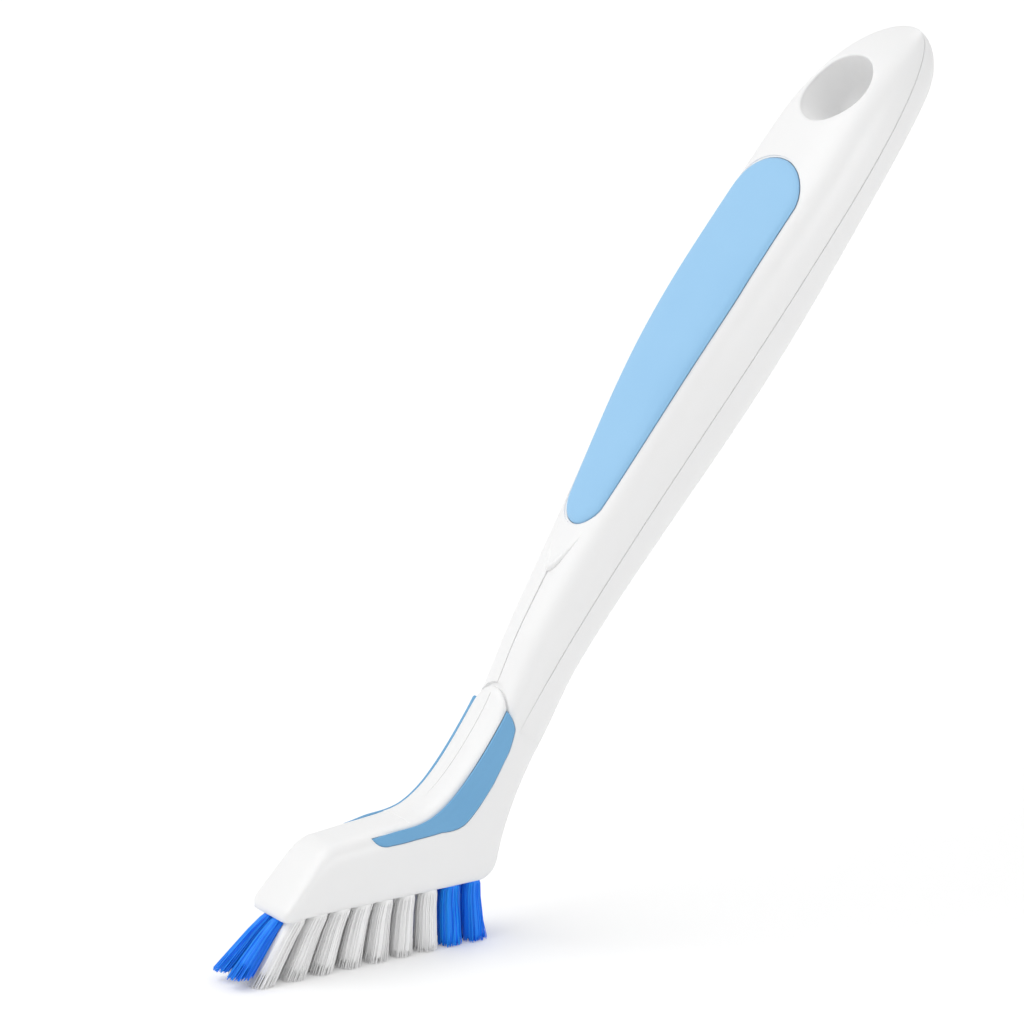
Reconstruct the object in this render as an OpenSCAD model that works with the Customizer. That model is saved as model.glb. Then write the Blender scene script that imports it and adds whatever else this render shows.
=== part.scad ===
// Grout brush: a wedge-shaped bristle head on a long angled handle, with soft-grip inlays.
// Millimetres. +Z is up, the toe points along -X, and the brush is mirrored about the plane Y = 0.
// The origin is under the middle of the whole brush, on the plane that the bristle tips stand on.

/* [Bristle head] */
// Length of the head's underside, from the toe to the heel's centre
head_len = 44.3; // [40:0.1:56]
// Width of the head
head_w = 12.6; // [12:0.1:16]
// Height of the head's top above its underside, behind the nose
head_h = 13.7; // [11:0.1:18]
// Slope of the nose, in degrees above level
nose_angle = 49; // [40:1:60]
// Height of the small upright face at the toe
toe_h = 1.4; // [1:0.1:3]
// Radius that rounds the head's corners at the toe, seen from above
toe_r = 1.5; // [0.5:0.1:3]
// Radius of the heel
heel_r = 4.5; // [3:0.1:6]

/* [Handle] */
// Straight distance from the neck to the tip of the handle
handle_len = 157; // [130:0.1:200]
// Rise of the neck, in degrees above level
neck_angle = 56; // [48:0.5:64]
// Rise of the whole handle, in degrees above level
handle_angle = 52.5; // [44:0.5:60]
// Rise of the handle at its tip, in degrees above level
tip_angle = 49; // [40:0.5:56]
// Width across the neck
neck_w = 13; // [12:0.1:17]
// Width across the widest part of the grip
grip_w = 27; // [22:0.1:34]
// Depth in front of the parting line at the neck
neck_front = 4.9; // [4:0.1:6]
// Depth in front of the parting line at the grip
grip_front = 10.9; // [8.6:0.1:13]
// Depth in front of the parting line beside the hanging hole
tail_front = 9.7; // [8:0.1:12]
// Depth behind the parting line at the neck
neck_back = 8; // [7:0.1:10]
// Depth behind the parting line at the waist, above the neck
waist_back = 6.8; // [6:0.1:8.5]
// Depth behind the parting line at the grip
grip_back = 9.3; // [7.6:0.1:11.5]
// Depth behind the parting line at the tail
tail_back = 7.2; // [6:0.1:9]
// Wall of the two hollow handle mouldings
wall = 2.2; // [1.6:0.1:3]
// Wall left under the soft pad's pocket
pocket_wall = 1.6; // [1.2:0.1:2.4]
// Bevel on both mouldings along the parting line
parting_bevel = 0.22; // [0.1:0.02:0.4]
// Gap between the two mouldings
parting_gap = 0.05; // [0.02:0.01:0.1]

/* [Locating pins] */
// Radius of the back cover's locating pins
pin_r = 1.4; // [1:0.1:1.8]
// Length of each pin past the parting line
pin_len = 4; // [2:0.5:5]
// Clearance round each pin
pin_clearance = 0.1; // [0.05:0.01:0.2]

/* [Hanging hole] */
// Radius of the round throat of the hanging hole
hole_r = 6.6; // [4:0.1:7.2]
// Distance from the tip of the handle to the hole's axis
hole_from_tip = 20.5; // [17:0.5:24]
// Radius that rounds the hole's rims
hole_lip = 1.8; // [0.8:0.1:2.4]

/* [Grip pad] */
// Length of the soft pad
pad_len = 79; // [60:0.5:84]
// Distance from the tip of the handle to the pad's upper end
pad_from_tip = 37; // [34:0.5:46]
// Width of the pad at its widest
pad_w = 22.2; // [17:0.1:24]
// Width of the pad's lower end
pad_foot_w = 9.6; // [6:0.1:12]
// Thickness of the pad
pad_t = 1.6; // [1.2:0.1:2]
// Height that the pad's face stands proud of the handle
pad_proud = 0.4; // [0.1:0.05:0.8]
// Length of the raised tongue below the pad
tongue_len = 11.5; // [6:0.5:14]
// Height that the tongue and the saddle stand proud of the neck
step_h = 0.8; // [0.4:0.05:1.2]

/* [Neck wings] */
// Thickness of the two soft wings
wing_t = 1.3; // [1:0.1:1.8]
// Distance from the toe to the toe end of the wings
wing_from_toe = 19; // [16:0.5:24]
// Depth of the wings down the sides of the head
wing_drop = 3; // [2:0.1:4]
// Height that the wings stand proud of the neck
wing_proud = 0.3; // [0.1:0.05:0.5]
// Gap round every soft inlay
inlay_gap = 0.1; // [0.05:0.01:0.3]

/* [Bristles] */
// Length of the bristles below the head
bristle_len = 12; // [9:0.5:16]
// Distance from the toe to the first tufts of the two rows
row_start = 4.5; // [4.4:0.1:6]
// Distance between tufts along a row
tuft_pitch = 4.9; // [4.5:0.05:5.1]
// Distance between the two rows
row_gap = 6.6; // [6.2:0.1:6.8]
// Radius of the drilled holes in the two rows
tuft_r = 1.5; // [1.2:0.05:1.55]
// Depth of the drilled holes
tuft_depth = 6; // [5:0.1:7]
// Lean of the first tufts of the rows towards the toe, in degrees
row_lean = 29.5; // [15:0.5:30]
// Lean of the last tufts of the rows towards the heel, in degrees
heel_lean = 5.5; // [0:0.5:8]
// Distance from the toe to the two toe tufts
toe_tuft_x = 1.8; // [1.8:0.1:2]
// Distance between the two toe tufts
toe_tuft_gap = 3; // [2.8:0.1:3.2]
// Depth of the two toe tufts' holes
toe_tuft_depth = 4.6; // [4:0.1:5]
// Radius of the two toe tufts' holes
toe_tuft_r = 1.15; // [0.9:0.05:1.2]
// Lean of the two toe tufts, in degrees
toe_lean = 47; // [38:1:50]
// Length of the two toe tufts
toe_tuft_len = 14.6; // [11:0.1:16]
// Thickness of the flat wire that holds each tuft
wire_t = 0.35; // [0.25:0.05:0.45]
// Height of the flat wire
wire_h = 1.5; // [1:0.1:2]
// Depth that the wire bites into the wall of its hole
wire_bite = 0.3; // [0.2:0.05:0.4]

/* [Hidden] */
$fn = 48;
sides = ["near", "far"];
row_count = 9;

// Small mathematical helpers
function mix(a, b, u) = a + (b - a) * u;
function unit(v) = v / norm(v);
function along(angle) = [cos(angle), sin(angle)];
function left_of(v) = [-v[1], v[0]];
function clamp(u) = min(1, max(0, u));
function swell(u) = (1 - cos(180 * clamp(u))) / 2;
function dome(u) = sqrt(max(0, 1 - clamp(u) * clamp(u)));
function signed_pow(x, p) = sign(x) * pow(abs(x), p);
function soft_min(a, b, r) = min(a, b) - pow(max(0, r - abs(a - b)), 2) / (4 * r);
function quadratic(a, b, c, u) = (1 - u) * (1 - u) * a + 2 * u * (1 - u) * b + u * u * c;
function cubic(a, b, c, d, u) =
    pow(1 - u, 3) * a + 3 * u * pow(1 - u, 2) * b + 3 * u * u * (1 - u) * c + pow(u, 3) * d;

// A smooth curve through [position, value] stations, level at both ends
function slope_at(s, i) = i == 0 || i == len(s) - 1 ? 0
    : (s[i + 1][1] - s[i - 1][1]) / (s[i + 1][0] - s[i - 1][0]);
function through(s, t) =
    let (below = [for (i = [0:len(s) - 2]) if (s[i][0] <= t) i])
    let (i = below[len(below) - 1], span = s[i + 1][0] - s[i][0], u = clamp((t - s[i][0]) / span))
    s[i][1] * (1 + 2 * u) * pow(1 - u, 2) + span * slope_at(s, i) * u * pow(1 - u, 2)
    + s[i + 1][1] * u * u * (3 - 2 * u) - span * slope_at(s, i + 1) * u * u * (1 - u);

// The parting curve of the handle in the plane of X and Z, measured from the toe's lower edge
under = bristle_len;
neck_at = [head_len + 8.2, under + 29];
tip_at = neck_at + handle_len * along(handle_angle);
function spine(t) = cubic(neck_at, neck_at + 0.3 * handle_len * along(neck_angle),
    tip_at - 0.28 * handle_len * along(tip_angle), tip_at, t);
function heading(t) = unit(spine(min(1, t + 0.002)) - spine(max(0, t - 0.002)));

// Half width, front depth and back depth of the handle, from 0 at the neck to 1 at the tip
widest = 0.7;
function half_width(t) = t < widest
    ? mix(neck_w, grip_w, swell(t / widest)) / 2
    : grip_w / 2 * pow(1 - pow((t - widest) / (1 - widest), 2.3), 0.455);
front_stations = [[0, neck_front], [0.12, mix(neck_front, grip_front, 0.35)],
    [0.3, mix(neck_front, grip_front, 0.64)], [0.5, grip_front], [0.75, tail_front], [1, tail_front]];
function front_depth(t) = through(front_stations, t) * pow(dome((t - 0.8) / 0.2), 1.6);
back_stations = [[0, neck_back], [0.12, waist_back], [0.5, grip_back], [0.8, tail_back], [1, tail_back]];
function back_depth(t) = through(back_stations, t) * dome((t - 0.92) / 0.08);

// A rib is one cross-section: centre, direction of its front, half width, front and back depth,
// and the squareness of its front and back
function handle_rib(t) = [spine(t), left_of(heading(t)), half_width(t), front_depth(t),
    back_depth(t), lookup(t, [[0, 3], [0.12, 3], [0.3, 3.6], [1, 3.7]]), 3];

// The head's roof runs up the nose and then almost level; it sinks where the saddle rises from it
function roof(x) = soft_min(toe_h + 0.6 + x * tan(nose_angle), head_h + (x - 15) * 0.09, 2.5)
    - 0.6 * pow(1 - clamp(x / 0.8), 2);
function sink(x) = step_h * swell((x - wing_from_toe) / (bend_x - wing_from_toe));
bend_x = head_len - 11.3;
function head_rib(x) =
    let (h = roof(x) - sink(x), w = head_w / 2, corner = max(0, toe_r - x))
    [[x, under + h / 2], [0, 1], w - toe_r + sqrt(toe_r * toe_r - corner * corner), h / 2, h / 2,
    mix(5, 4, clamp(x / 10)), 8];

// The bend fans its ribs from the upright head to the leaning neck, round the heel
neck_rib = handle_rib(0);
neck_front_at = neck_rib[0] + neck_front * neck_rib[1];
neck_back_at = neck_rib[0] - neck_back * neck_rib[1];
bend_front_at = [bend_x, under + roof(bend_x) - sink(bend_x)];
bend_corner = let (run = neck_front_at - bend_front_at, k = tan(neck_angle))
    bend_front_at + (run[0] - run[1] / k) / (1 - 0.09 / k) * [1, 0.09];
heel_end = [head_len, under + heel_r] + heel_r * along(-14);
heel_corner = let (run = neck_back_at - heel_end)
    heel_end + (run[1] - run[0] * tan(neck_angle)) / (tan(76) - tan(neck_angle)) * [1, tan(76)];
function front_rail(u) = quadratic(bend_front_at, bend_corner, neck_front_at, u);
function back_rail(u) = u < 0.2 ? [mix(bend_x, head_len, u / 0.2), under]
    : u < 0.5 ? [head_len, under + heel_r] + heel_r * along(mix(-90, -14, (u - 0.2) / 0.3))
    : quadratic(heel_end, heel_corner, neck_back_at, (u - 0.5) / 0.5);
function bend_rib(u) =
    let (a = front_rail(u), b = back_rail(u), d = norm(a - b))
    let (front = d * mix(0.5, neck_front / (neck_front + neck_back), u))
    [a + (b - a) * front / d, unit(a - b), mix(head_w, neck_w, u) / 2, front, d - front,
    mix(4, 3, u), mix(8, 3, swell(u))];

// One running position for the whole brush: 0 to 1 is the head, 1 to 2 the bend, 2 to 3 the handle
function rib(s) = s < 1 ? head_rib(s * bend_x) : s < 2 ? bend_rib(s - 1) : handle_rib(s - 2);
function on_head(x) = x / bend_x;
function on_handle(mm) = 2 + mm / handle_len;

// A point of the skin: turn is 0 at the middle of the front, 90 at the parting and 180 at the back
function skin(r, turn, off = 0) =
    let (front = cos(turn) >= 0, depth = front ? r[3] : r[4], e = front ? r[5] : r[6])
    let (n = signed_pow(cos(turn), 2 / e) * (depth + off), y = signed_pow(sin(turn), 2 / e) * (r[2] + off))
    [r[0][0] + n * r[1][0], y, r[0][1] + n * r[1][1]];
function inner(r, y, n) = [r[0][0] + n * r[1][0], y, r[0][1] + n * r[1][1]];
function turn_at(r, y) = asin(pow(min(1, y / r[2]), r[5] / 2));

// A closed solid through a list of rings with equal numbers of points
module loft(rings) {
    n = len(rings[0]);
    m = len(rings);
    polyhedron(
        points = [for (ring = rings) for (p = ring) p],
        faces = concat(
            [for (i = [0:m - 2]) for (j = [0:n - 1]) let (k = (j + 1) % n)
                [i * n + j, i * n + k, (i + 1) * n + k]],
            [for (i = [0:m - 2]) for (j = [0:n - 1]) let (k = (j + 1) % n)
                [i * n + j, (i + 1) * n + k, (i + 1) * n + j]],
            [for (j = [1:n - 2]) [0, j + 1, j]],
            [for (j = [1:n - 2]) [(m - 1) * n, (m - 1) * n + j, (m - 1) * n + j + 1]]
        ),
        convexity = 8
    );
}

// Rings of the two mouldings: an outer arc, closed by a full back, a flat parting or a hollow
outer_steps = 16;
closing_steps = 12;
function outer_arc(r, way, lift) = [for (j = [0:outer_steps])
    let (turn = -90 + 180 * j / outer_steps)
    let (edge = j == 0 || j == outer_steps)
    edge && lift > 0 ? inner(r, way * (r[2] - 0.001) * sin(turn), way * lift)
    : skin(r, way > 0 ? turn : 180 + turn)];
function full_back(r) = [for (j = [0:closing_steps]) skin(r, 90 + 180 * (j + 1) / (closing_steps + 2))];
function flat_closing(r, way, bevel, gap) = [for (j = [0:closing_steps])
    inner(r, way * (r[2] - bevel) * (1 - 2 * j / closing_steps), way * gap)];
function hollow_closing(r, way, bevel, gap, over) =
    let (depth = (way > 0 ? r[3] : r[4]) - over, e = way > 0 ? r[5] : r[6], w = r[2] - wall)
    concat([inner(r, way * (r[2] - bevel), way * gap)],
        [for (j = [0:closing_steps - 2])
            let (turn = 90 - 180 * j / (closing_steps - 2))
            inner(r, way * w * signed_pow(sin(turn), 2 / e),
                way * max(gap, depth * pow(max(0, cos(turn)), 2 / e)))],
        [inner(r, -way * (r[2] - bevel), way * gap)]);

// Where the handle is hollow, and how the bevel grows from nothing at the neck
hollow_from = 0.1;
hollow_to = 0.745;
thin_step = 0.0002;
function bevel_at(t) = min(parting_bevel * clamp(0.1 + t / 0.1), half_width(t) / 4);
function handle_ring(t, way, gap, kind, over) =
    let (r = handle_rib(t), bevel = bevel_at(t))
    concat(outer_arc(r, way, min(bevel + gap, (way > 0 ? r[3] : r[4]) / 2)),
        kind == "hollow" ? hollow_closing(r, way, bevel, gap, over) : flat_closing(r, way, bevel, gap));
function handle_rings(from, way, gap, over) = concat(
    [for (i = [0:4]) handle_ring(mix(from, hollow_from, i / 4), way, gap, "flat", over)],
    [for (i = [0:17]) handle_ring(mix(hollow_from + thin_step, hollow_to, i / 17), way, gap, "hollow", over)],
    [for (i = [0:4]) handle_ring(mix(hollow_to + thin_step, 0.88, i / 5), way, gap, "flat", over)],
    [for (i = [0:11]) handle_ring(mix(0.88, 0.9996, sin(90 * i / 11)), way, gap, "flat", over)]
);

module body_shell() {
    over = pad_t - pad_proud + pocket_wall;
    loft(concat(
        [for (x = [0, 0.2, 0.5, 0.9, 1.5, 3, 5, 7]) head_ring(x)],
        [for (i = [0:6]) head_ring(mix(8, 12.5, i / 6))],
        [for (x = [16, 19.5, 23, 26.5, 30]) head_ring(x)],
        [for (i = [0:15]) let (r = bend_rib(i / 16)) concat(outer_arc(r, 1, 0), full_back(r))],
        [concat(outer_arc(neck_rib, 1, 0), full_back(neck_rib))],
        handle_rings(thin_step, 1, 0, over)
    ));
}
function head_ring(x) = let (r = head_rib(x)) concat(outer_arc(r, 1, 0), full_back(r));

// A patch lies on the skin between two heights, and spans both sides as far as its half width
patch_steps = 10;
function patch_ring(s, half, low, high, edge) =
    let (r = rib(s), a = turn_at(r, half))
    concat([for (j = [0:patch_steps]) let (v = 2 * j / patch_steps - 1)
            skin(r, a * v, abs(v) == 1 ? high - edge : high)],
        [for (j = [0:patch_steps]) let (v = 1 - 2 * j / patch_steps) skin(r, a * v, low)]);

// The pad's outline: a long teardrop with a round top and a small round foot
pad_end = on_handle(handle_len - pad_from_tip);
pad_start = pad_end - pad_len / handle_len;
pad_foot_r = pad_foot_w / 2;
pad_top_r = 0.42 * pad_w;
function pad_half(p) =
    (pad_w / 2 - (pad_w - pad_foot_w) / 2 * pow(1 - clamp(p / (0.78 * pad_len)), 1.6))
    * dome(1 - p / pad_foot_r) * dome(1 - (pad_len - p) / pad_top_r);
pad_marks = concat(
    [for (i = [1:5]) pad_foot_r * (1 - cos(90 * i / 5))],
    [for (i = [1:12]) mix(pad_foot_r, pad_len - pad_top_r, i / 12)],
    [for (i = [1:7]) pad_len - pad_top_r * (1 - sin(90 * i / 8))]
);
module pad_patch(grow, low, high, edge) {
    stretch = 1 + 2 * grow / pad_len;
    loft([for (p = pad_marks)
        patch_ring(pad_start + (pad_len / 2 + (p - pad_len / 2) * stretch) / handle_len,
            pad_half(p) + grow, low, high, edge)]);
}

// The tongue is a raised collar that runs down the neck from the pad's foot
tongue_start = pad_start - tongue_len / handle_len;
tongue_run = tongue_len + 7;
module tongue() {
    loft([for (i = [0:14]) let (p = tongue_run * (1 - cos(90 * (i + 1) / 15)))
        patch_ring(tongue_start + p / handle_len,
            mix(2.6, 5.8, clamp(p / tongue_len)) * dome(1 - p / 3.5), -1.2,
            mix(step_h, -0.4, clamp(p / tongue_run)), 0.15)]);
}

// The saddle rises out of the head between the wings and ends as an arch on the neck
arch_len = 7;
arch_at = 6.2;
saddle_half = head_w / 2 - wing_t + 0.3;
arch_half = 0.9 * neck_w / 2;
module saddle() {
    rise_x = wing_from_toe - 3;
    loft(concat(
        [for (i = [0:7]) let (x = mix(rise_x, bend_x - 0.2, i / 7))
            patch_ring(on_head(x), saddle_half, -1, mix(-0.3, step_h, clamp((x - rise_x) / 13)), 0.25)],
        [for (i = [0:15]) patch_ring(1 + i / 16, mix(saddle_half, arch_half, swell((i - 9) / 7)), -1, step_h, 0.25)],
        [for (i = [0:8]) let (p = mix(arch_at - arch_len, arch_at - 0.02, sin(90 * i / 8)))
            if (p > 0.2) patch_ring(on_handle(p), arch_half * dome((p - arch_at + arch_len) / arch_len),
                -1, step_h, 0.25)]
    ));
}

// The wings' outline from the side: a strip below the roof that deepens round the bend
wing_top = 2.6;
wing_bend_drop = wing_drop + 2.4;
wing_marks = concat(
    [for (i = [0:5]) [on_head(wing_from_toe + 3.5 * (1 - cos(90 * i / 5))), sin(90 * i / 5) * wing_drop]],
    [for (i = [1:6]) [on_head(mix(wing_from_toe + 3.5, bend_x, i / 6.2)), wing_drop]],
    [for (i = [0:10]) [1 + i / 11, mix(wing_drop, wing_bend_drop, swell(i / 5)) - swell((i - 5) / 6)]],
    [for (i = [0:6]) [on_handle(wing_top * sin(15 * i) + 0.05), (wing_bend_drop - 1) * cos(13.5 * i)]]
);
module wing_outline(gap, above) {
    low = [for (m = wing_marks) let (r = rib(m[0])) r[0] + (r[3] - m[1]) * r[1]];
    high = [for (i = [len(wing_marks) - 1:-1:0]) let (r = rib(wing_marks[i][0])) r[0] + (r[3] + above) * r[1]];
    offset(delta = -gap) polygon(concat(low, high));
}
module wing_prism(side, inside, gap, above) {
    translate([0, side > 0 ? head_w : -inside, 0])
        rotate([90, 0, 0])
            linear_extrude(head_w - inside) wing_outline(gap, above);
}
module wing_skin() {
    loft(concat(
        [for (i = [0:6]) let (r = head_rib(mix(wing_from_toe - 2, bend_x, i / 7))) wing_skin_ring(r)],
        [for (i = [0:15]) wing_skin_ring(bend_rib(i / 16))],
        [for (p = [0, 1.5, 3, 5]) wing_skin_ring(handle_rib(p / handle_len))]
    ));
}
function wing_skin_ring(r) = [for (j = [0:21])
    j < 15 ? skin(r, 12 * j - 84, wing_proud) : skin(r, 90 + 180 * (j - 14.5) / 7)];

module neck_wing(side) {
    placed() color("lightskyblue") intersection() {
        wing_skin();
        wing_prism(side, head_w / 2 - wing_t + inlay_gap, inlay_gap, 2);
    }
}

// The hanging hole goes straight through both mouldings, square to the parting curve
hole_t = 1 - hole_from_tip / handle_len;
module along_rib(t) {
    r = handle_rib(t);
    translate([r[0][0], 0, r[0][1]]) rotate([0, atan2(r[1][0], r[1][1]), 0]) children();
}
module flare(tilt, height) {
    translate([0, 0, height]) rotate([0, tilt, 0]) translate([0, 0, -hole_lip])
        rotate_extrude() polygon(concat(
            [[0, -0.5], [hole_r - 0.5, -0.5]],
            [for (i = [0:6]) [hole_r + hole_lip * (1 - cos(15 * i)), hole_lip * sin(15 * i)]],
            [[hole_r + hole_lip + 2.5, hole_lip + 6], [0, hole_lip + 6]]
        ));
}
module hanging_hole() {
    along_rib(hole_t) {
        translate([0, 0, -20]) cylinder(r = hole_r, h = 40);
        flare(12, front_depth(hole_t) - 1.2);
        rotate([180, 0, 0]) flare(0, back_depth(hole_t) - 1);
    }
}

// Locating pins of the cover stand in bosses of the body
pin_stations = [0.2, 0.42, 0.64];
module bosses(way, r, from, to) {
    for (t = pin_stations) along_rib(t)
        translate([0, 0, way > 0 ? from : -to(t)]) cylinder(r = r, h = to(t) - from);
}
boss_r = pin_r + 1.6;

// Tufts of the two rows lean from the toe to the heel
function row_x(i) = row_start + tuft_pitch * (i - 1);
function lean_at(i) = let (u = (i - 1) / (row_count - 1)) mix(row_lean, 0, 1 - pow(1 - u, 2)) - heel_lean * pow(u, 3);
function row_root(side, i) = [row_x(i), side * row_gap / 2, under];
function toe_root(side) = [toe_tuft_x, side * toe_tuft_gap / 2, under];
module in_hole(root, lean) {
    translate(root) rotate([0, lean, 0]) children();
}
module hole_cut(root, lean, r, depth) {
    in_hole(root, lean) translate([0, 0, -2]) cylinder(r = r, h = depth + 2, $fn = 24);
}
module wire(root, lean, r, depth, gap) {
    in_hole(root, lean) translate([0, 0, depth - wire_h / 2 - 0.4])
        cube([2 * (r + wire_bite + gap), wire_t + 2 * gap, wire_h + 2 * gap], center = true);
}
module each_hole(side) {
    for (i = [1:row_count]) {
        $root = row_root(side, i);
        $lean = lean_at(i);
        $r = tuft_r;
        $depth = tuft_depth;
        children();
    }
    $root = toe_root(side);
    $lean = row_lean;
    $r = toe_tuft_r;
    $depth = toe_tuft_depth;
    children();
}

// A tuft is its folded root in the hole and eighteen three-sided strands
strand_rings = [[1, 0], [6, 0.4], [11, 0.8]];
strand_seats = [for (ring = strand_rings) for (k = [0:ring[0] - 1])
    ring[1] * along(360 * k / ring[0] + 17 * ring[0])];
function strand_ring(at, r, spin) = [for (a = [0, 120, 240])
    [at[0] + r * cos(a + spin), at[1] + r * sin(a + spin), at[2]]];
module strand(root, middle, end, r, spin) {
    polyhedron(
        points = concat(strand_ring(root, r, spin), strand_ring(middle, 0.9 * r, spin),
            strand_ring(end, 0.66 * r, spin)),
        faces = concat([[0, 2, 1], [6, 7, 8]],
            [for (i = [0, 3]) for (j = [0:2]) let (k = (j + 1) % 3) [i + j, i + k, i + 3 + k]],
            [for (i = [0, 3]) for (j = [0:2]) let (k = (j + 1) % 3) [i + j, i + 3 + k, i + 3 + j]])
    );
}
module tuft(root, lean, r, depth, centre_mid, centre_end, spread) {
    difference() {
        union() {
            in_hole(root, lean) translate([0, 0, 0.3])
                cylinder(r = r - 0.05, h = depth - 0.4, $fn = 24);
            for (k = [0:len(strand_seats) - 1]) {
                p = strand_seats[k] * r;
                flat = [p[0] / cos(lean), p[1], 0];
                strand(root + flat + 0.45 * [tan(lean), 0, 1], centre_mid + flat * mix(1, spread, 0.45),
                    centre_end + flat * spread, 0.17 * r, 40 * k);
            }
        }
        wire(root, lean, r, depth, 0.05);
    }
}
function drop(root, lean, h) = [root[0] - h * tan(lean), root[1], root[2] - h];
module row_tuft(side, i) {
    root = row_root(side, i);
    lean = lean_at(i);
    tuft(root, lean, tuft_r, tuft_depth, drop(root, lean, under * 0.5),
        drop(root, lean, under) + [0, side * 0.3, 0], 1.45);
}
module toe_tuft(side) {
    root = toe_root(side);
    h = toe_tuft_len * cos(toe_lean);
    tuft(root, row_lean, toe_tuft_r, toe_tuft_depth, drop(root, mix(row_lean, toe_lean, 0.75), h * 0.5) + [0, side * 0.4, 0],
        drop(root, toe_lean, h) + [0, side * 1.2, 0], 1.6);
}

// Everything is moved so that the origin is under the middle of the brush
toe_reach = toe_tuft_x - toe_tuft_len * sin(toe_lean) - 0.9 * toe_tuft_r * 1.6;
handle_reach = max([for (i = [0:60]) let (r = handle_rib(mix(0.85, 0.9996, i / 60))) max(r[0][0], r[0][0] - r[4] * r[1][0])]);
middle_x = (toe_reach + handle_reach) / 2;
module placed() {
    translate([-middle_x, 0, 0]) children();
}

module brush_body() {
    over = pad_t - pad_proud + pocket_wall;
    placed() color("whitesmoke") difference() {
        union() {
            body_shell();
            saddle();
            tongue();
            bosses(1, boss_r, 0, function (t) front_depth(t) - over + 0.6);
        }
        pad_patch(inlay_gap, -(pad_t - pad_proud) - inlay_gap, 3, 0);
        for (side = [-1, 1]) wing_prism(side, head_w / 2 - wing_t, 0, 3);
        hanging_hole();
        bosses(1, pin_r + pin_clearance, -1, function (t) pin_len + 0.5);
        for (side = [-1, 1]) each_hole(side) {
            hole_cut($root, $lean, $r, $depth);
            wire($root, $lean, $r, $depth, 0.05);
        }
    }
}

module back_cover() {
    placed() color("whitesmoke") difference() {
        union() {
            loft(handle_rings(0.001, -1, parting_gap, wall));
            bosses(-1, boss_r, parting_gap, function (t) back_depth(t) - wall + 0.6);
            for (t = pin_stations) along_rib(t) translate([0, 0, -3]) cylinder(r = pin_r, h = 3 + pin_len);
        }
        hanging_hole();
    }
}

module grip_pad() {
    placed() color("lightskyblue")
        pad_patch(0, -(pad_t - pad_proud), pad_proud, 0.35);
}

module tuft_anchors(side) {
    placed() color("silver") each_hole(side) wire($root, $lean, $r, $depth, 0);
}

brush_body();
back_cover();
grip_pad();
neck_wing(-1);  // neck_wing_near
neck_wing(1);  // neck_wing_far
tuft_anchors(-1);  // tuft_anchors_near
tuft_anchors(1);  // tuft_anchors_far
placed() color("steelblue") toe_tuft(-1);  // tuft_toe_near
placed() color("steelblue") toe_tuft(1);  // tuft_toe_far
for (i = [1:row_count]) {
    shade = i > 7 ? "steelblue" : "white";
    placed() color(shade) row_tuft(-1, i);
    placed() color(shade) row_tuft(1, i);
}
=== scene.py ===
"""Grout brush: a wedge-shaped bristle head on a two-part angled handle, with soft-grip inlays.

Shapes are worked out in millimetres with X measured from the toe of the head, and are moved into
the row frame, in metres, when they become meshes.
"""

import logging
import math
from dataclasses import dataclass
from enum import Enum
from typing import Any, Iterable, Sequence

import bpy
import numpy as np
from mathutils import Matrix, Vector

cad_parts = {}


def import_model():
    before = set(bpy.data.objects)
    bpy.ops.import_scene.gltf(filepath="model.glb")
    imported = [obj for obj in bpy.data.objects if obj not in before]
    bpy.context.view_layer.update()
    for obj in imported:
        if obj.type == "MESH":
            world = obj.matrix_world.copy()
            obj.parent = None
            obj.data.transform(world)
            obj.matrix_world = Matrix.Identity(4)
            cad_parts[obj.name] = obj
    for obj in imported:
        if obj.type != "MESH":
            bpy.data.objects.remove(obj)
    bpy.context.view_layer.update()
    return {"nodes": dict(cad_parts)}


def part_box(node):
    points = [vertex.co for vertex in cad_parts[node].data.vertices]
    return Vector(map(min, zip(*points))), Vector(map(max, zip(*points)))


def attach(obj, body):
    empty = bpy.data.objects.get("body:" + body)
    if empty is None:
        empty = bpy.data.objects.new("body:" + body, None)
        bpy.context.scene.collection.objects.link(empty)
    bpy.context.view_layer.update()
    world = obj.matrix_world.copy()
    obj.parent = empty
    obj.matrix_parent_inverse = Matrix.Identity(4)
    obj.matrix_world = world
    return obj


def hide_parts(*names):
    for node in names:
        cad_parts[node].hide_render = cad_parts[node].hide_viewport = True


log = logging.getLogger("grout_brush")
Array = np.ndarray
MM = 0.001
GOLDEN_ANGLE = 2.39996


class Side(Enum):
    """The two mirrored sides of the brush; the camera sees the near one."""

    NEAR = -1
    FAR = 1


class Half(Enum):
    """The two mouldings that meet at the parting line."""

    FRONT = 1
    BACK = -1


# Colours and shader nodes


def linear(code: str) -> tuple[float, float, float, float]:
    """Turn an sRGB hex colour into linear light.

    Args:
        code: six hex digits after a hash.

    Returns:
        Red, green, blue and an alpha of 1.
    """
    parts = [int(code[i : i + 2], 16) / 255 for i in (1, 3, 5)]
    red, green, blue = (c / 12.92 if c <= 0.04045 else ((c + 0.055) / 1.055) ** 2.4 for c in parts)
    return red, green, blue, 1.0


def add_node(tree: bpy.types.NodeTree, kind: str, inputs: dict[Any, Any] | None = None,
             **settings: Any) -> Any:
    """Add one shader node with its settings and links.

    Args:
        tree: the node tree to add to.
        kind: the node's type name.
        inputs: socket name or index to a value, or to the output socket that feeds it.
        settings: attributes of the node.

    Returns:
        The new node.
    """
    made = tree.nodes.new(kind)
    for name, value in settings.items():
        setattr(made, name, value)
    for key, value in (inputs or {}).items():
        if isinstance(value, bpy.types.NodeSocket):
            tree.links.new(value, made.inputs[key])
        else:
            made.inputs[key].default_value = value
    return made


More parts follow.
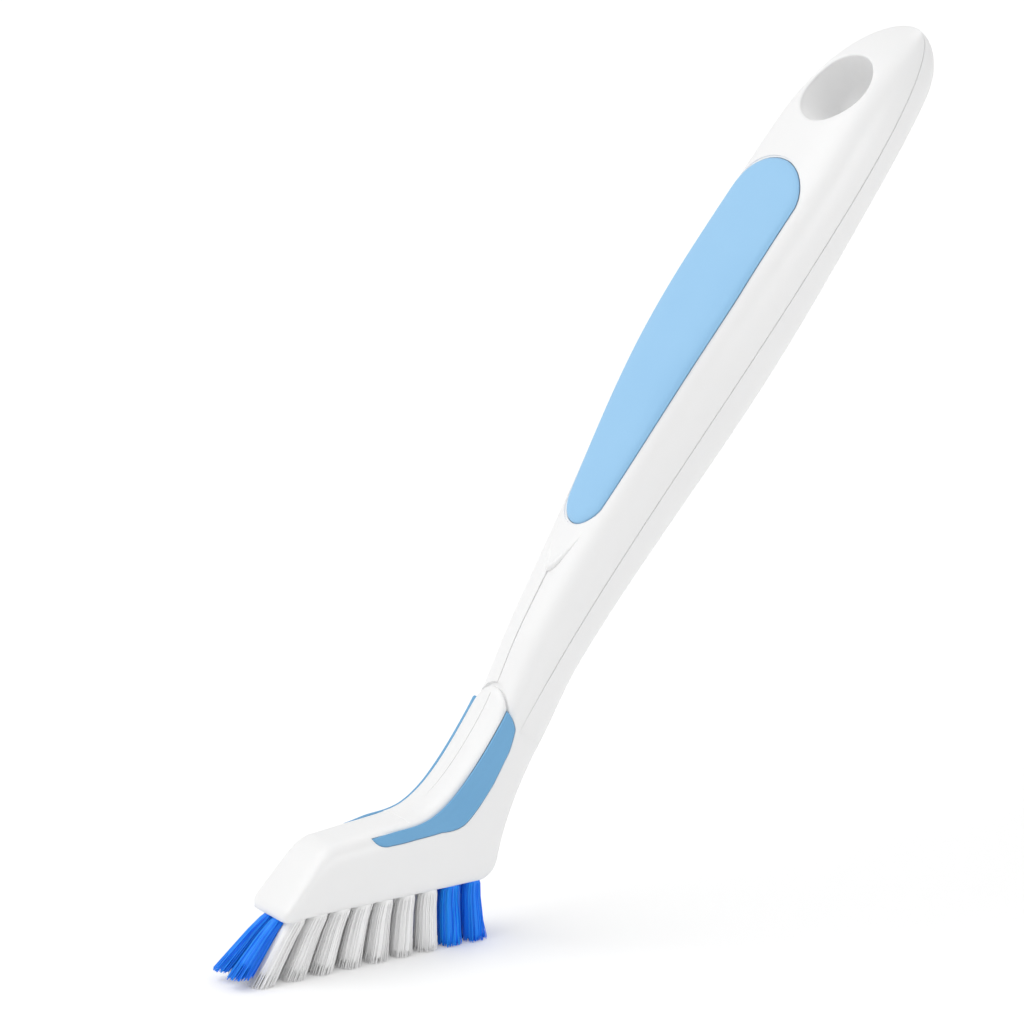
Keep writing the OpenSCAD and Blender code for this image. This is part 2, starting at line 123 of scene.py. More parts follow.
def new_material(name: str) -> tuple[bpy.types.Material, bpy.types.NodeTree]:
    """Make an empty node material.

    Args:
        name: the material's name.

    Returns:
        The material and its cleared node tree.
    """
    material = bpy.data.materials.new(name)
    material.use_nodes = True
    material.node_tree.nodes.clear()
    return material, material.node_tree


@dataclass(frozen=True)
class MouldedPolypropylene:
    """Injection-moulded polypropylene: a clean white shell with a satin gloss and a faint orange peel.

    The spark-eroded grain is drawn several times coarser than the real one so that it shows.
    """

    colour: str = "#F3F3F3"
    shade: str = "#EEEEEE"
    drift_mm: float = 35.7143
    roughness: float = 0.36
    peel_mm: float = 2.6
    grain_mm: float = 0.35

    def build(self) -> bpy.types.Material:
        """Build the material: a large soft drift of tone, orange peel and grain.

        Returns:
            The finished material.
        """
        material, tree = new_material("white_polypropylene")
        place = add_node(tree, "ShaderNodeTexCoord").outputs["Object"]
        drift = add_node(tree, "ShaderNodeTexNoise", {
            "Vector": place, "Scale": 1 / (self.drift_mm * MM), "Detail": 2.0})
        tone = add_node(tree, "ShaderNodeMix", {
            0: drift.outputs["Fac"], 6: linear(self.colour), 7: linear(self.shade)}, data_type="RGBA")
        peel = add_node(tree, "ShaderNodeTexNoise", {
            "Vector": place, "Scale": 1 / (self.peel_mm * MM), "Detail": 1.0})
        grain = add_node(tree, "ShaderNodeTexNoise", {
            "Vector": place, "Scale": 1 / (self.grain_mm * MM), "Detail": 2.0})
        soft = add_node(tree, "ShaderNodeBump", {
            "Height": peel.outputs["Fac"], "Strength": 0.1, "Distance": 0.08 * MM})
        fine = add_node(tree, "ShaderNodeBump", {
            "Height": grain.outputs["Fac"], "Strength": 0.12, "Distance": 0.02 * MM,
            "Normal": soft.outputs["Normal"]})
        gloss = add_node(tree, "ShaderNodeMapRange", {
            "Value": grain.outputs["Fac"], "From Min": 0.3, "From Max": 0.7,
            "To Min": self.roughness - 0.05, "To Max": self.roughness + 0.06})
        # the little light let through keeps the white from looking like paint
        shader = add_node(tree, "ShaderNodeBsdfPrincipled", {
            "Base Color": tone.outputs[2], "Roughness": gloss.outputs["Result"], "IOR": 1.49,
            "Subsurface Weight": 0.12, "Subsurface Radius": (1.0, 0.95, 0.9),
            "Subsurface Scale": 1.2 * MM, "Normal": fine.outputs["Normal"]})
        add_node(tree, "ShaderNodeOutputMaterial", {"Surface": shader.outputs[0]})
        return material


@dataclass(frozen=True)
class SoftGripElastomer:
    """Overmoulded thermoplastic elastomer: matt, slightly velvety, with a fine spark-eroded grain.

    The grain is drawn several times coarser than the real one so that it shows.
    """

    name: str
    colour: str
    shade: str
    patch_mm: float = 18.1818
    roughness: float = 0.62
    grain_mm: float = 0.45

    def build(self) -> bpy.types.Material:
        """Build the material: matt grain, a soft sheen and faint handling patches.

        Returns:
            The finished material.
        """
        material, tree = new_material(self.name)
        place = add_node(tree, "ShaderNodeTexCoord").outputs["Object"]
        patches = add_node(tree, "ShaderNodeTexNoise", {
            "Vector": place, "Scale": 1 / (self.patch_mm * MM), "Detail": 3.0})
        tone = add_node(tree, "ShaderNodeMix", {
            0: patches.outputs["Fac"], 6: linear(self.colour), 7: linear(self.shade)}, data_type="RGBA")
        grain = add_node(tree, "ShaderNodeTexNoise", {
            "Vector": place, "Scale": 1 / (self.grain_mm * MM), "Detail": 3.0})
        bump = add_node(tree, "ShaderNodeBump", {
            "Height": grain.outputs["Fac"], "Strength": 0.35, "Distance": 0.04 * MM})
        matt = add_node(tree, "ShaderNodeMapRange", {
            "Value": patches.outputs["Fac"], "From Min": 0.3, "From Max": 0.7,
            "To Min": self.roughness - 0.06, "To Max": self.roughness + 0.06})
        # the sheen is the velvet edge that a matt soft grip shows where it turns away
        shader = add_node(tree, "ShaderNodeBsdfPrincipled", {
            "Base Color": tone.outputs[2], "Roughness": matt.outputs["Result"], "IOR": 1.5,
            "Sheen Weight": 0.12, "Sheen Roughness": 0.5, "Normal": bump.outputs["Normal"]})
        add_node(tree, "ShaderNodeOutputMaterial", {"Surface": shader.outputs[0]})
        return material


@dataclass(frozen=True)
class NylonFilament:
    """Drawn nylon filament: smooth with a soft gloss, each strand a slightly different tone."""

    name: str
    colour: str
    shade: str
    roughness: float = 0.33
    # lower than bare nylon's, as light that goes round inside a dense tuft softens its glints
    gloss: float = 0.3

    def build(self) -> bpy.types.Material:
        """Build the material from the strands' own tone attribute.

        Returns:
            The finished material.
        """
        material, tree = new_material(self.name)
        own = add_node(tree, "ShaderNodeAttribute", attribute_name="strand_tone")
        tone = add_node(tree, "ShaderNodeMix", {
            0: own.outputs["Fac"], 6: linear(self.shade), 7: linear(self.colour)}, data_type="RGBA")
        shader = add_node(tree, "ShaderNodeBsdfPrincipled", {
            "Base Color": tone.outputs[2], "Roughness": self.roughness, "IOR": 1.53,
            "Specular IOR Level": self.gloss})
        add_node(tree, "ShaderNodeOutputMaterial", {"Surface": shader.outputs[0]})
        return material


@dataclass(frozen=True)
class FlatWire:
    """Drawn and flattened steel wire: bright, with fine drawing lines."""

    colour: str = "#C4C4C0"
    line_mm: tuple[float, float, float] = (2.5, 0.1111, 0.1111)

    def build(self) -> bpy.types.Material:
        """Build the material: metal with stretched noise as its drawing lines.

        Returns:
            The finished material.
        """
        material, tree = new_material("flat_steel_wire")
        place = add_node(tree, "ShaderNodeTexCoord").outputs["Object"]
        lines = add_node(tree, "ShaderNodeMapping", {
            "Vector": place, "Scale": tuple(1 / (size * MM) for size in self.line_mm)})
        noise = add_node(tree, "ShaderNodeTexNoise", {"Vector": lines.outputs[0], "Scale": 1.0})
        rough = add_node(tree, "ShaderNodeMapRange", {
            "Value": noise.outputs["Fac"], "To Min": 0.24, "To Max": 0.42})
        shader = add_node(tree, "ShaderNodeBsdfPrincipled", {
            "Base Color": linear(self.colour), "Metallic": 1.0, "Roughness": rough.outputs["Result"]})
        add_node(tree, "ShaderNodeOutputMaterial", {"Surface": shader.outputs[0]})
        return material


# Helpers for curves and surfaces


def mix(a: Any, b: Any, u: Any) -> Any:
    """Blend from a to b as u goes from 0 to 1."""
    return a + (b - a) * u


def swell(u: Any) -> Any:
    """Rise from 0 to 1 along half a cosine wave, level at both ends."""
    return (1 - np.cos(np.pi * np.clip(u, 0, 1))) / 2


def dome(u: Any) -> Any:
    """Fall from 1 to 0 along a quarter ellipse."""
    return np.sqrt(np.maximum(0, 1 - np.clip(u, 0, 1) ** 2))


def towards(degrees: float) -> Array:
    """Give the unit vector of an angle in the plane of X and Z."""
    return np.array([math.cos(math.radians(degrees)), math.sin(math.radians(degrees))])


def through(stations: Sequence[tuple[float, float]], t: Array) -> Array:
    """Run a smooth curve through stations with cubic Hermite spans, level at both ends.

    Args:
        stations: pairs of position and value, in order.
        t: positions to read.

    Returns:
        The values at t.
    """
    place, value = np.array(stations, float).T
    slope = np.zeros(len(place))
    slope[1:-1] = (value[2:] - value[:-2]) / (place[2:] - place[:-2])
    i = np.clip(np.searchsorted(place, t, side="right") - 1, 0, len(place) - 2)
    span = place[i + 1] - place[i]
    u = np.clip((t - place[i]) / span, 0, 1)
    return (value[i] * (1 + 2 * u) * (1 - u) ** 2 + span * slope[i] * u * (1 - u) ** 2
            + value[i + 1] * u * u * (3 - 2 * u) - span * slope[i + 1] * u * u * (1 - u))


def quadratic(a: Array, b: Array, c: Array, u: Array) -> Array:
    """Run a quadratic curve from a to c, pulled towards b."""
    u = u[:, None]
    return (1 - u) ** 2 * a + 2 * u * (1 - u) * b + u * u * c


@dataclass
class Ribs:
    """Cross-sections of the brush, one per row of each array: centre, front direction and sizes."""

    centre: Array
    front: Array
    width: Array
    fore: Array
    aft: Array
    fore_square: Array
    aft_square: Array

    def points(self, angle: Array, off: Any = 0.0) -> Array:
        """Give skin points at polar angles: 0 is the front's middle and 90 degrees the parting.

        The radius is that of a superellipse whose half axes both grow by off.

        Args:
            angle: radians, one row for each rib.
            off: height above the skin in millimetres.

        Returns:
            Points as an array of rows, columns and X, Y, Z.
        """
        front = np.cos(angle) >= 0
        depth = np.where(front, self.fore[:, None], self.aft[:, None]) + off
        power = np.where(front, self.fore_square[:, None], self.aft_square[:, None])
        wide = self.width[:, None] + off
        ahead, across = np.cos(angle), np.sin(angle)
        radius = ((np.abs(ahead) / depth) ** power + (np.abs(across) / wide) ** power) ** (-1 / power)
        return self.place(radius * across, radius * ahead)

    def place(self, y: Array, n: Array) -> Array:
        """Place points by their Y and their distance in front of the parting.

        Args:
            y: distances across, one row for each rib.
            n: distances to the front, one row for each rib.

        Returns:
            Points as an array of rows, columns and X, Y, Z.
        """
        x = self.centre[:, 0, None] + n * self.front[:, 0, None]
        z = self.centre[:, 1, None] + n * self.front[:, 1, None]
        return np.stack([x, y + 0 * x, z], axis=-1)

    def angle_at(self, half: Array) -> Array:
        """Give the front angle whose skin point lies a given distance from the middle plane."""
        q = np.clip(half / self.width, 0, 0.9999)
        return np.arctan2(q * self.width, self.fore * (1 - q**self.fore_square) ** (1 / self.fore_square))

    def angle_below(self, drop: Array) -> Array:
        """Give the front angle whose skin point lies a given depth behind the front's middle."""
        q = np.clip(1 - drop / self.fore, 0.0, 0.9999)
        return np.arctan2(self.width * (1 - q**self.fore_square) ** (1 / self.fore_square), q * self.fore)


@dataclass(frozen=True)
class BrushForm:
    """The brush's outer form, in millimetres.

    The sizes are the solid model's own, but for three that follow the photograph more closely:
    the saddle is a little lower (step_h), the wings start a little further from the toe
    (wing_from_toe) and the rise to the neck starts further from the heel (neck_start).
    """

    head_len: float = 44.3
    head_w: float = 12.6
    head_h: float = 13.7
    nose_angle: float = 49.0
    toe_h: float = 1.4
    toe_r: float = 1.5
    heel_r: float = 4.5
    heel_end: float = -14.0
    handle_len: float = 157.0
    neck_angle: float = 56.0
    handle_angle: float = 52.5
    tip_angle: float = 49.0
    neck_w: float = 13.0
    grip_w: float = 27.0
    neck_front: float = 4.9
    grip_front: float = 10.9
    tail_front: float = 9.7
    neck_back: float = 8.0
    waist_back: float = 6.8
    grip_back: float = 9.3
    tail_back: float = 7.2
    step_h: float = 0.5
    wing_from_toe: float = 19.8
    under: float = 12.0
    widest: float = 0.7
    neck_start: float = 15.5
    neck_ahead: float = 8.2
    neck_rise: float = 29.0
    neck_pull: float = 0.3
    tip_pull: float = 0.28
    top_from: float = 15.0
    top_slope: float = 0.09
    bend_len: float = 24.0

    @property
    def bend_x(self) -> float:
        """Where the upright ribs of the head end."""
        return self.head_len - self.neck_start

    def spine(self, t: Array) -> Array:
        """Run the parting curve from the neck to the tip.

        It is a cubic with four points: its two ends, and one a share of the handle's length from each
        end, at the rise of the neck and of the tip.

        Args:
            t: positions from 0 at the neck to 1 at the tip.

        Returns:
            Rows of X and Z.
        """
        start = np.array([self.head_len + self.neck_ahead, self.under + self.neck_rise])
        end = start + self.handle_len * towards(self.handle_angle)
        near = start + self.neck_pull * self.handle_len * towards(self.neck_angle)
        far = end - self.tip_pull * self.handle_len * towards(self.tip_angle)
        u = np.asarray(t, float)[:, None]
        return (1 - u) ** 3 * start + 3 * u * (1 - u) ** 2 * near + 3 * u * u * (1 - u) * far + u**3 * end

    def handle(self, t: Array) -> Ribs:
        """Give ribs of the handle, from 0 at the neck to 1 at the tip.

        The width swells to the grip and closes as a blunt oval; the depths close as domes.

        Args:
            t: positions along the parting curve.

        Returns:
            The ribs.
        """
        t = np.asarray(t, float)
        run = self.spine(np.minimum(1, t + 0.002)) - self.spine(np.maximum(0, t - 0.002))
        run /= np.linalg.norm(run, axis=1)[:, None]
        closing = np.clip((t - self.widest) / (1 - self.widest), 0, 1)
        width = np.where(t < self.widest, mix(self.neck_w, self.grip_w, swell(t / self.widest)) / 2,
                         self.grip_w / 2 * (1 - closing**2.3) ** 0.455)
        fore = through([(0, self.neck_front), (0.12, mix(self.neck_front, self.grip_front, 0.35)),
                        (0.3, mix(self.neck_front, self.grip_front, 0.64)), (0.5, self.grip_front),
                        (0.75, self.tail_front), (1, self.tail_front)], t) * dome((t - 0.8) / 0.2) ** 1.6
        aft = through([(0, self.neck_back), (0.12, self.waist_back), (0.5, self.grip_back),
                       (0.8, self.tail_back), (1, self.tail_back)], t) * dome((t - 0.92) / 0.08)
        square = mix(3.0, 3.65, swell((t - 0.08) / 0.3))
        front = np.stack([-run[:, 1], run[:, 0]], 1)
        return Ribs(self.spine(t), front, width, fore, aft, square, 3.0 + 0 * t)

    def roof(self, x: Array) -> Array:
        """Give the head's height: up the nose, then nearly level, and down beside the saddle.

        Nose and top are joined by a soft minimum, which takes off the square of how much closer than
        2.5 they are, over ten.

        Args:
            x: distances from the toe.

        Returns:
            Heights above the underside.
        """
        nose = self.toe_h + 0.6 + x * math.tan(math.radians(self.nose_angle))
        top = self.head_h + (x - self.top_from) * self.top_slope
        join = np.minimum(nose, top) - np.maximum(0, 2.5 - np.abs(nose - top)) ** 2 / 10
        sink = self.step_h * swell((x - self.wing_from_toe) / (self.bend_x - self.wing_from_toe))
        return join - 0.6 * (1 - np.clip(x / 0.8, 0, 1)) ** 2 - sink

    def head(self, x: Array) -> Ribs:
        """Give upright ribs of the head.

        Args:
            x: distances from the toe.

        Returns:
            The ribs.
        """
        x = np.asarray(x, float)
        lift = 0.45 * (1 - np.clip(x / 0.6, 0, 1)) ** 2
        high = self.roof(x) - lift
        corner = np.maximum(0, self.toe_r - x)
        width = self.head_w / 2 - self.toe_r + np.sqrt(self.toe_r**2 - corner**2)
        centre = np.stack([x, self.under + lift + high / 2], 1)
        return Ribs(centre, np.stack([0 * x, 1 + 0 * x], 1), width, high / 2, high / 2,
                    mix(5.0, 4.0, np.clip(x / 10, 0, 1)), 8.0 + 0 * x)

    def bend(self, u: Array) -> Ribs:
        """Give ribs that fan round the heel, from the upright head to the leaning neck.

        Their fronts follow a quadratic rail and their backs the underside, the heel's arc and a rail.

        Args:
            u: positions from 0 at the head to 1 at the neck.

        Returns:
            The ribs.
        """
        u = np.asarray(u, float)
        neck = self.handle(np.array([0.0]))
        front_end = neck.centre[0] + self.neck_front * neck.front[0]
        back_end = neck.centre[0] - self.neck_back * neck.front[0]
        front_start = np.array([self.bend_x, self.under + float(self.roof(np.array([self.bend_x]))[0])])
        steep = math.tan(math.radians(self.neck_angle))
        run = front_end - front_start
        level = np.array([1, self.top_slope])
        front_mid = front_start + (run[0] - run[1] / steep) / (1 - self.top_slope / steep) * level
        heel = np.array([self.head_len, self.under + self.heel_r])
        heel_end = heel + self.heel_r * towards(self.heel_end)
        run = back_end - heel_end
        rise = math.tan(math.radians(90 + self.heel_end))
        back_mid = heel_end + (run[1] - run[0] * steep) / (rise - steep) * np.array([1, rise])
        fore = quadratic(front_start, front_mid, front_end, u)
        flat = np.stack([mix(self.bend_x, self.head_len, np.clip(u / 0.2, 0, 1)), 0 * u + self.under], 1)
        turn = np.radians(mix(-90, self.heel_end, np.clip((u - 0.2) / 0.3, 0, 1)))
        arc = heel + self.heel_r * np.stack([np.cos(turn), np.sin(turn)], 1)
        rail = quadratic(heel_end, back_mid, back_end, np.clip((u - 0.5) / 0.5, 0, 1))
        aft = np.where(u[:, None] < 0.2, flat, np.where(u[:, None] < 0.5, arc, rail))
        span = np.linalg.norm(fore - aft, axis=1)
        share = mix(0.5, self.neck_front / (self.neck_front + self.neck_back), u)
        return Ribs(fore + (aft - fore) * share[:, None], (fore - aft) / span[:, None],
                    mix(self.head_w, self.neck_w, u) / 2, span * share, span * (1 - share),
                    mix(4.0, 3.0, u), mix(8.0, 3.0, swell(u)))

    def ribs(self, s: Array) -> Ribs:
        """Give ribs at running positions: 0 to 1 is the head, 1 to 2 the bend and 2 to 3 the handle.

        Args:
            s: positions in rising order.

        Returns:
            The ribs.
        """
        s = np.asarray(s, float)
        parts = [self.head(s[s < 1] * self.bend_x), self.bend(s[(s >= 1) & (s < 2)] - 1),
                 self.handle(s[s >= 2] - 2)]
        names = ("centre", "front", "width", "fore", "aft", "fore_square", "aft_square")
        return Ribs(*(np.concatenate([getattr(p, name) for p in parts]) for name in names))

    def on_head(self, x: Any) -> Any:
        """Turn a distance from the toe into a running position."""
        return np.asarray(x, float) / self.bend_x

    def bend_run(self, u: Any) -> Any:
        """Turn a position in the bend into a rough distance from the toe."""
        return self.bend_x + self.bend_len * u

    def on_handle(self, distance: Any) -> Any:
        """Turn a distance from the neck into a running position."""
        return 2 + np.asarray(distance, float) / self.handle_len


# Meshes


class Workshop:
    """Turns arrays of points into Blender pieces in the row frame."""

    def __init__(self, middle_x: float) -> None:
        """Remember the distance from the toe to the row frame's origin.

        Args:
            middle_x: that distance in millimetres.
        """
        self.shift = np.array([middle_x, 0.0, 0.0])

    def piece(self, name: str, points: Array, faces: list[Sequence[int]]) -> bpy.types.Object:
        """Make an object from points in millimetres.

        Args:
            name: the piece's name.
            points: rows of X, Y, Z.
            faces: vertex numbers of each face.

        Returns:
            The new object, linked to the scene.
        """
        mesh = bpy.data.meshes.new(name)
        mesh.from_pydata(((points - self.shift) * MM).tolist(), [], faces)
        mesh.update()
        made = bpy.data.objects.new(name, mesh)
        bpy.context.scene.collection.objects.link(made)
        return made

    def loft(self, name: str, rings: Array) -> bpy.types.Object:
        """Skin closed rings into one closed solid, with a fan at each end, facing outwards.

        Its sign is six times its volume: the sum, over triangles, of a corner times the cross
        product of the other two.

        Args:
            name: the piece's name.
            rings: points as rings, points of a ring, and X, Y, Z.

        Returns:
            The new object.
        """
        rows, columns = rings.shape[:2]
        grid = np.arange(rows * columns).reshape(rows, columns)
        right = np.roll(grid, -1, axis=1)
        quads = np.stack([grid[:-1], right[:-1], right[1:], grid[1:]], -1).reshape(-1, 4)
        points = np.concatenate([rings.reshape(-1, 3), rings[0].mean(0)[None], rings[-1].mean(0)[None]])
        first, last = rows * columns, rows * columns + 1
        start = np.stack([right[0], grid[0], 0 * grid[0] + first], -1)
        end = np.stack([grid[-1], right[-1], 0 * grid[0] + last], -1)
        triangles = np.concatenate([quads[:, :3], quads[:, [0, 2, 3]], start, end])
        a, b, c = (points[triangles[:, i]] for i in range(3))
        faces = quads.tolist() + start.tolist() + end.tolist()
        if (a * np.cross(b, c)).sum() < 0:
            faces = [face[::-1] for face in faces]
        return self.piece(name, points, faces)

    def tubes(self, name: str, paths: Array, radii: Array, sides: int, tone: Array | None = None,
              extra_path: Array | None = None, extra_radii: Array | None = None) -> bpy.types.Object:
        """Make many closed tubes in one piece, each with rings square to its path.

        A ring's two axes are the path's direction crossed with Y, and that crossed with the direction.
        Each tube's rings start at an angle of their own.

        Args:
            name: the piece's name.
            paths: tubes, stations, and X, Y, Z.
            radii: tubes and stations.
            sides: sides of each tube.
            tone: one number from 0 to 1 for each tube, kept as the attribute strand_tone.
            extra_path: paths of thicker tubes with 20 sides.
            extra_radii: their radii.

        Returns:
            The new object.
        """
        points, faces, tones, offset = [], [], [], 0
        for some, thick, edges in ((paths, radii, sides), (extra_path, extra_radii, 20)):
            if some is None or thick is None:
                continue
            count, stations = some.shape[:2]
            run = np.gradient(some, axis=1)
            run /= np.linalg.norm(run, axis=2, keepdims=True)
            first = np.cross(np.array([0.0, 1.0, 0.0]), run)
            first /= np.linalg.norm(first, axis=2, keepdims=True)
            second = np.cross(run, first)
            angle = np.linspace(0, 2 * np.pi, edges, endpoint=False) + 2.4 * np.arange(count)[:, None, None]
            ahead, across = np.cos(angle)[..., None], np.sin(angle)[..., None]
            ring = first[:, :, None] * ahead + second[:, :, None] * across
            total = count * stations * edges
            points.append((some[:, :, None] + ring * thick[:, :, None, None]).reshape(-1, 3))
            grid = offset + np.arange(total).reshape(count, stations, edges)
            right = np.roll(grid, -1, axis=2)
            sides_of = np.stack([grid[:, :-1], right[:, :-1], right[:, 1:], grid[:, 1:]], -1)
            faces += sides_of.reshape(-1, 4).tolist() + grid[:, 0, ::-1].tolist() + grid[:, -1].tolist()
            own = some is paths and tone is not None
            tones.append(np.repeat(tone, stations * edges) if own else np.full(total, 0.5))
            offset += total
        made = self.piece(name, np.concatenate(points), faces)
        if tone is not None:
            layer = made.data.attributes.new("strand_tone", "FLOAT", "POINT")
            layer.data.foreach_set("value", np.concatenate(tones))
        return made

    def carve(self, target: bpy.types.Object, tools: Iterable[tuple[bpy.types.Object, str]]) -> None:
        """Join tools to a solid or cut them from it, and delete them.

        Args:
            target: the solid, which keeps its name.
            tools: each tool with UNION or DIFFERENCE.
        """
        for tool, way in tools:
            modifier = target.modifiers.new(way.lower(), "BOOLEAN")
            modifier.operation = way
            modifier.solver = "MANIFOLD"
            modifier.object = tool
            bpy.context.view_layer.update()
            graph = bpy.context.evaluated_depsgraph_get()
            done = bpy.data.meshes.new_from_object(target.evaluated_get(graph))
            target.modifiers.clear()
            before, target.data = target.data, done
            bpy.data.meshes.remove(before)
            bpy.data.objects.remove(tool)

    def finish(self, piece: bpy.types.Object, material: bpy.types.Material, slot: str,
               nodes: Sequence[str], crease: float = 35.0) -> None:
        """Smooth a piece, dress it and stand it for its CAD nodes.

        Args:
            piece: the piece.
            material: its material.
            slot: a material slot's name; not used.
            nodes: the CAD nodes that it stands for.
            crease: degrees above which an edge stays sharp.
        """
        piece.data.materials.clear()
        piece.data.materials.append(material)
        piece.data.polygons.foreach_set("use_smooth", np.ones(len(piece.data.polygons), bool))
        piece.data.set_sharp_from_angle(angle=math.radians(crease))
        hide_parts(*nodes)
        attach(piece, "root")
        log.info("%s: %d faces", piece.name, len(piece.data.polygons))


def edge_round(distance: Array, radius: float, depth: float) -> Array:
    """Give how far a surface falls as it nears its edge, as a quarter ellipse.

    Args:
        distance: distances from the edge.
        radius: width of the rounding.
        depth: the fall at the edge.

    Returns:
        The fall at each distance.
    """
    return depth * (1 - np.sqrt(np.maximum(0, 1 - (1 - np.clip(distance / radius, 0, 1)) ** 2)))


@dataclass
class Patch:
    """A strip that lies on the skin between two angles of each rib.

    A mirrored strip has two long edges of its own. Any other strip has only its second edge rounded
    by the distance along it, as its first one lies beside the saddle.
    """

    form: BrushForm
    places: Array
    first: Array
    second: Array
    run: Array
    mirrored: bool = True
    columns: int = 48

    def travel(self, ribs: Ribs, angle: Array) -> Array:
        """Give each point's distance along the skin from the strip's first edge."""
        steps = np.linalg.norm(np.diff(ribs.points(angle), axis=1), axis=2)
        return np.concatenate([np.zeros((len(steps), 1)), np.cumsum(steps, axis=1)], axis=1)

    def angles(self) -> Array:
        """Spread columns between the strip's edges, closer together near them."""
        v = (1 - np.cos(np.linspace(0, np.pi, self.columns))) / 2
        return self.first[:, None] + (self.second - self.first)[:, None] * v

    def edge_distance(self, ribs: Ribs, angle: Array) -> Array:
        """Give each point's distance from the strip's outline.

        The distance across to the edge and the distance along to it are joined as a right triangle's
        height, which is exact for a straight slanting edge.

        Args:
            ribs: the strip's ribs.
            angle: the angle of each point.

        Returns:
            Distances in millimetres.
        """
        travel = self.travel(ribs, angle)
        limit = travel[:, -1] / (2 if self.mirrored else 1)
        reach = np.abs(travel - limit[:, None]) if self.mirrored else travel
        k = int(np.argmax(limit))
        ahead = self.run[:, None] - np.interp(reach, limit[: k + 1], self.run[: k + 1])
        behind = np.interp(reach, limit[k:][::-1], self.run[k:][::-1]) - self.run[:, None]
        along = np.maximum(np.minimum(ahead, behind), 1e-6)
        across = np.maximum(limit[:, None] - reach, 1e-6)
        near = along * across / np.hypot(along, across)
        return near if self.mirrored else np.minimum(near, reach)

    def rings(self, low: Any, high: Any, radius: float = 0.0, depth: float | None = None) -> Array:
        """Make the strip's closed rings: its face, with rounded edges, and its underside.

        Args:
            low: height of the underside above the skin.
            high: height of the face above the skin.
            radius: width of the rounding at the edges.
            depth: fall of the rounding, the same as its width where it isn't given.

        Returns:
            Rings of points.
        """
        ribs = self.form.ribs(self.places)
        angle = self.angles()
        face = 0 * angle + (high if np.ndim(high) == 2 else np.reshape(high, (-1, 1)))
        if radius > 0:
            fall = radius if depth is None else depth
            face = face - edge_round(self.edge_distance(ribs, angle), radius, fall)
        under = 0 * angle + np.reshape(low, (-1, 1))
        return np.concatenate([ribs.points(angle, face), ribs.points(angle, under)[:, ::-1]], axis=1)


def strip(form: BrushForm, places: Array, half: Array, run: Array, columns: int = 48) -> Patch:
    """Lay a strip along the front's middle with its own half width at each place."""
    angle = form.ribs(places).angle_at(half)
    return Patch(form, places, -angle, angle, run, columns=columns)


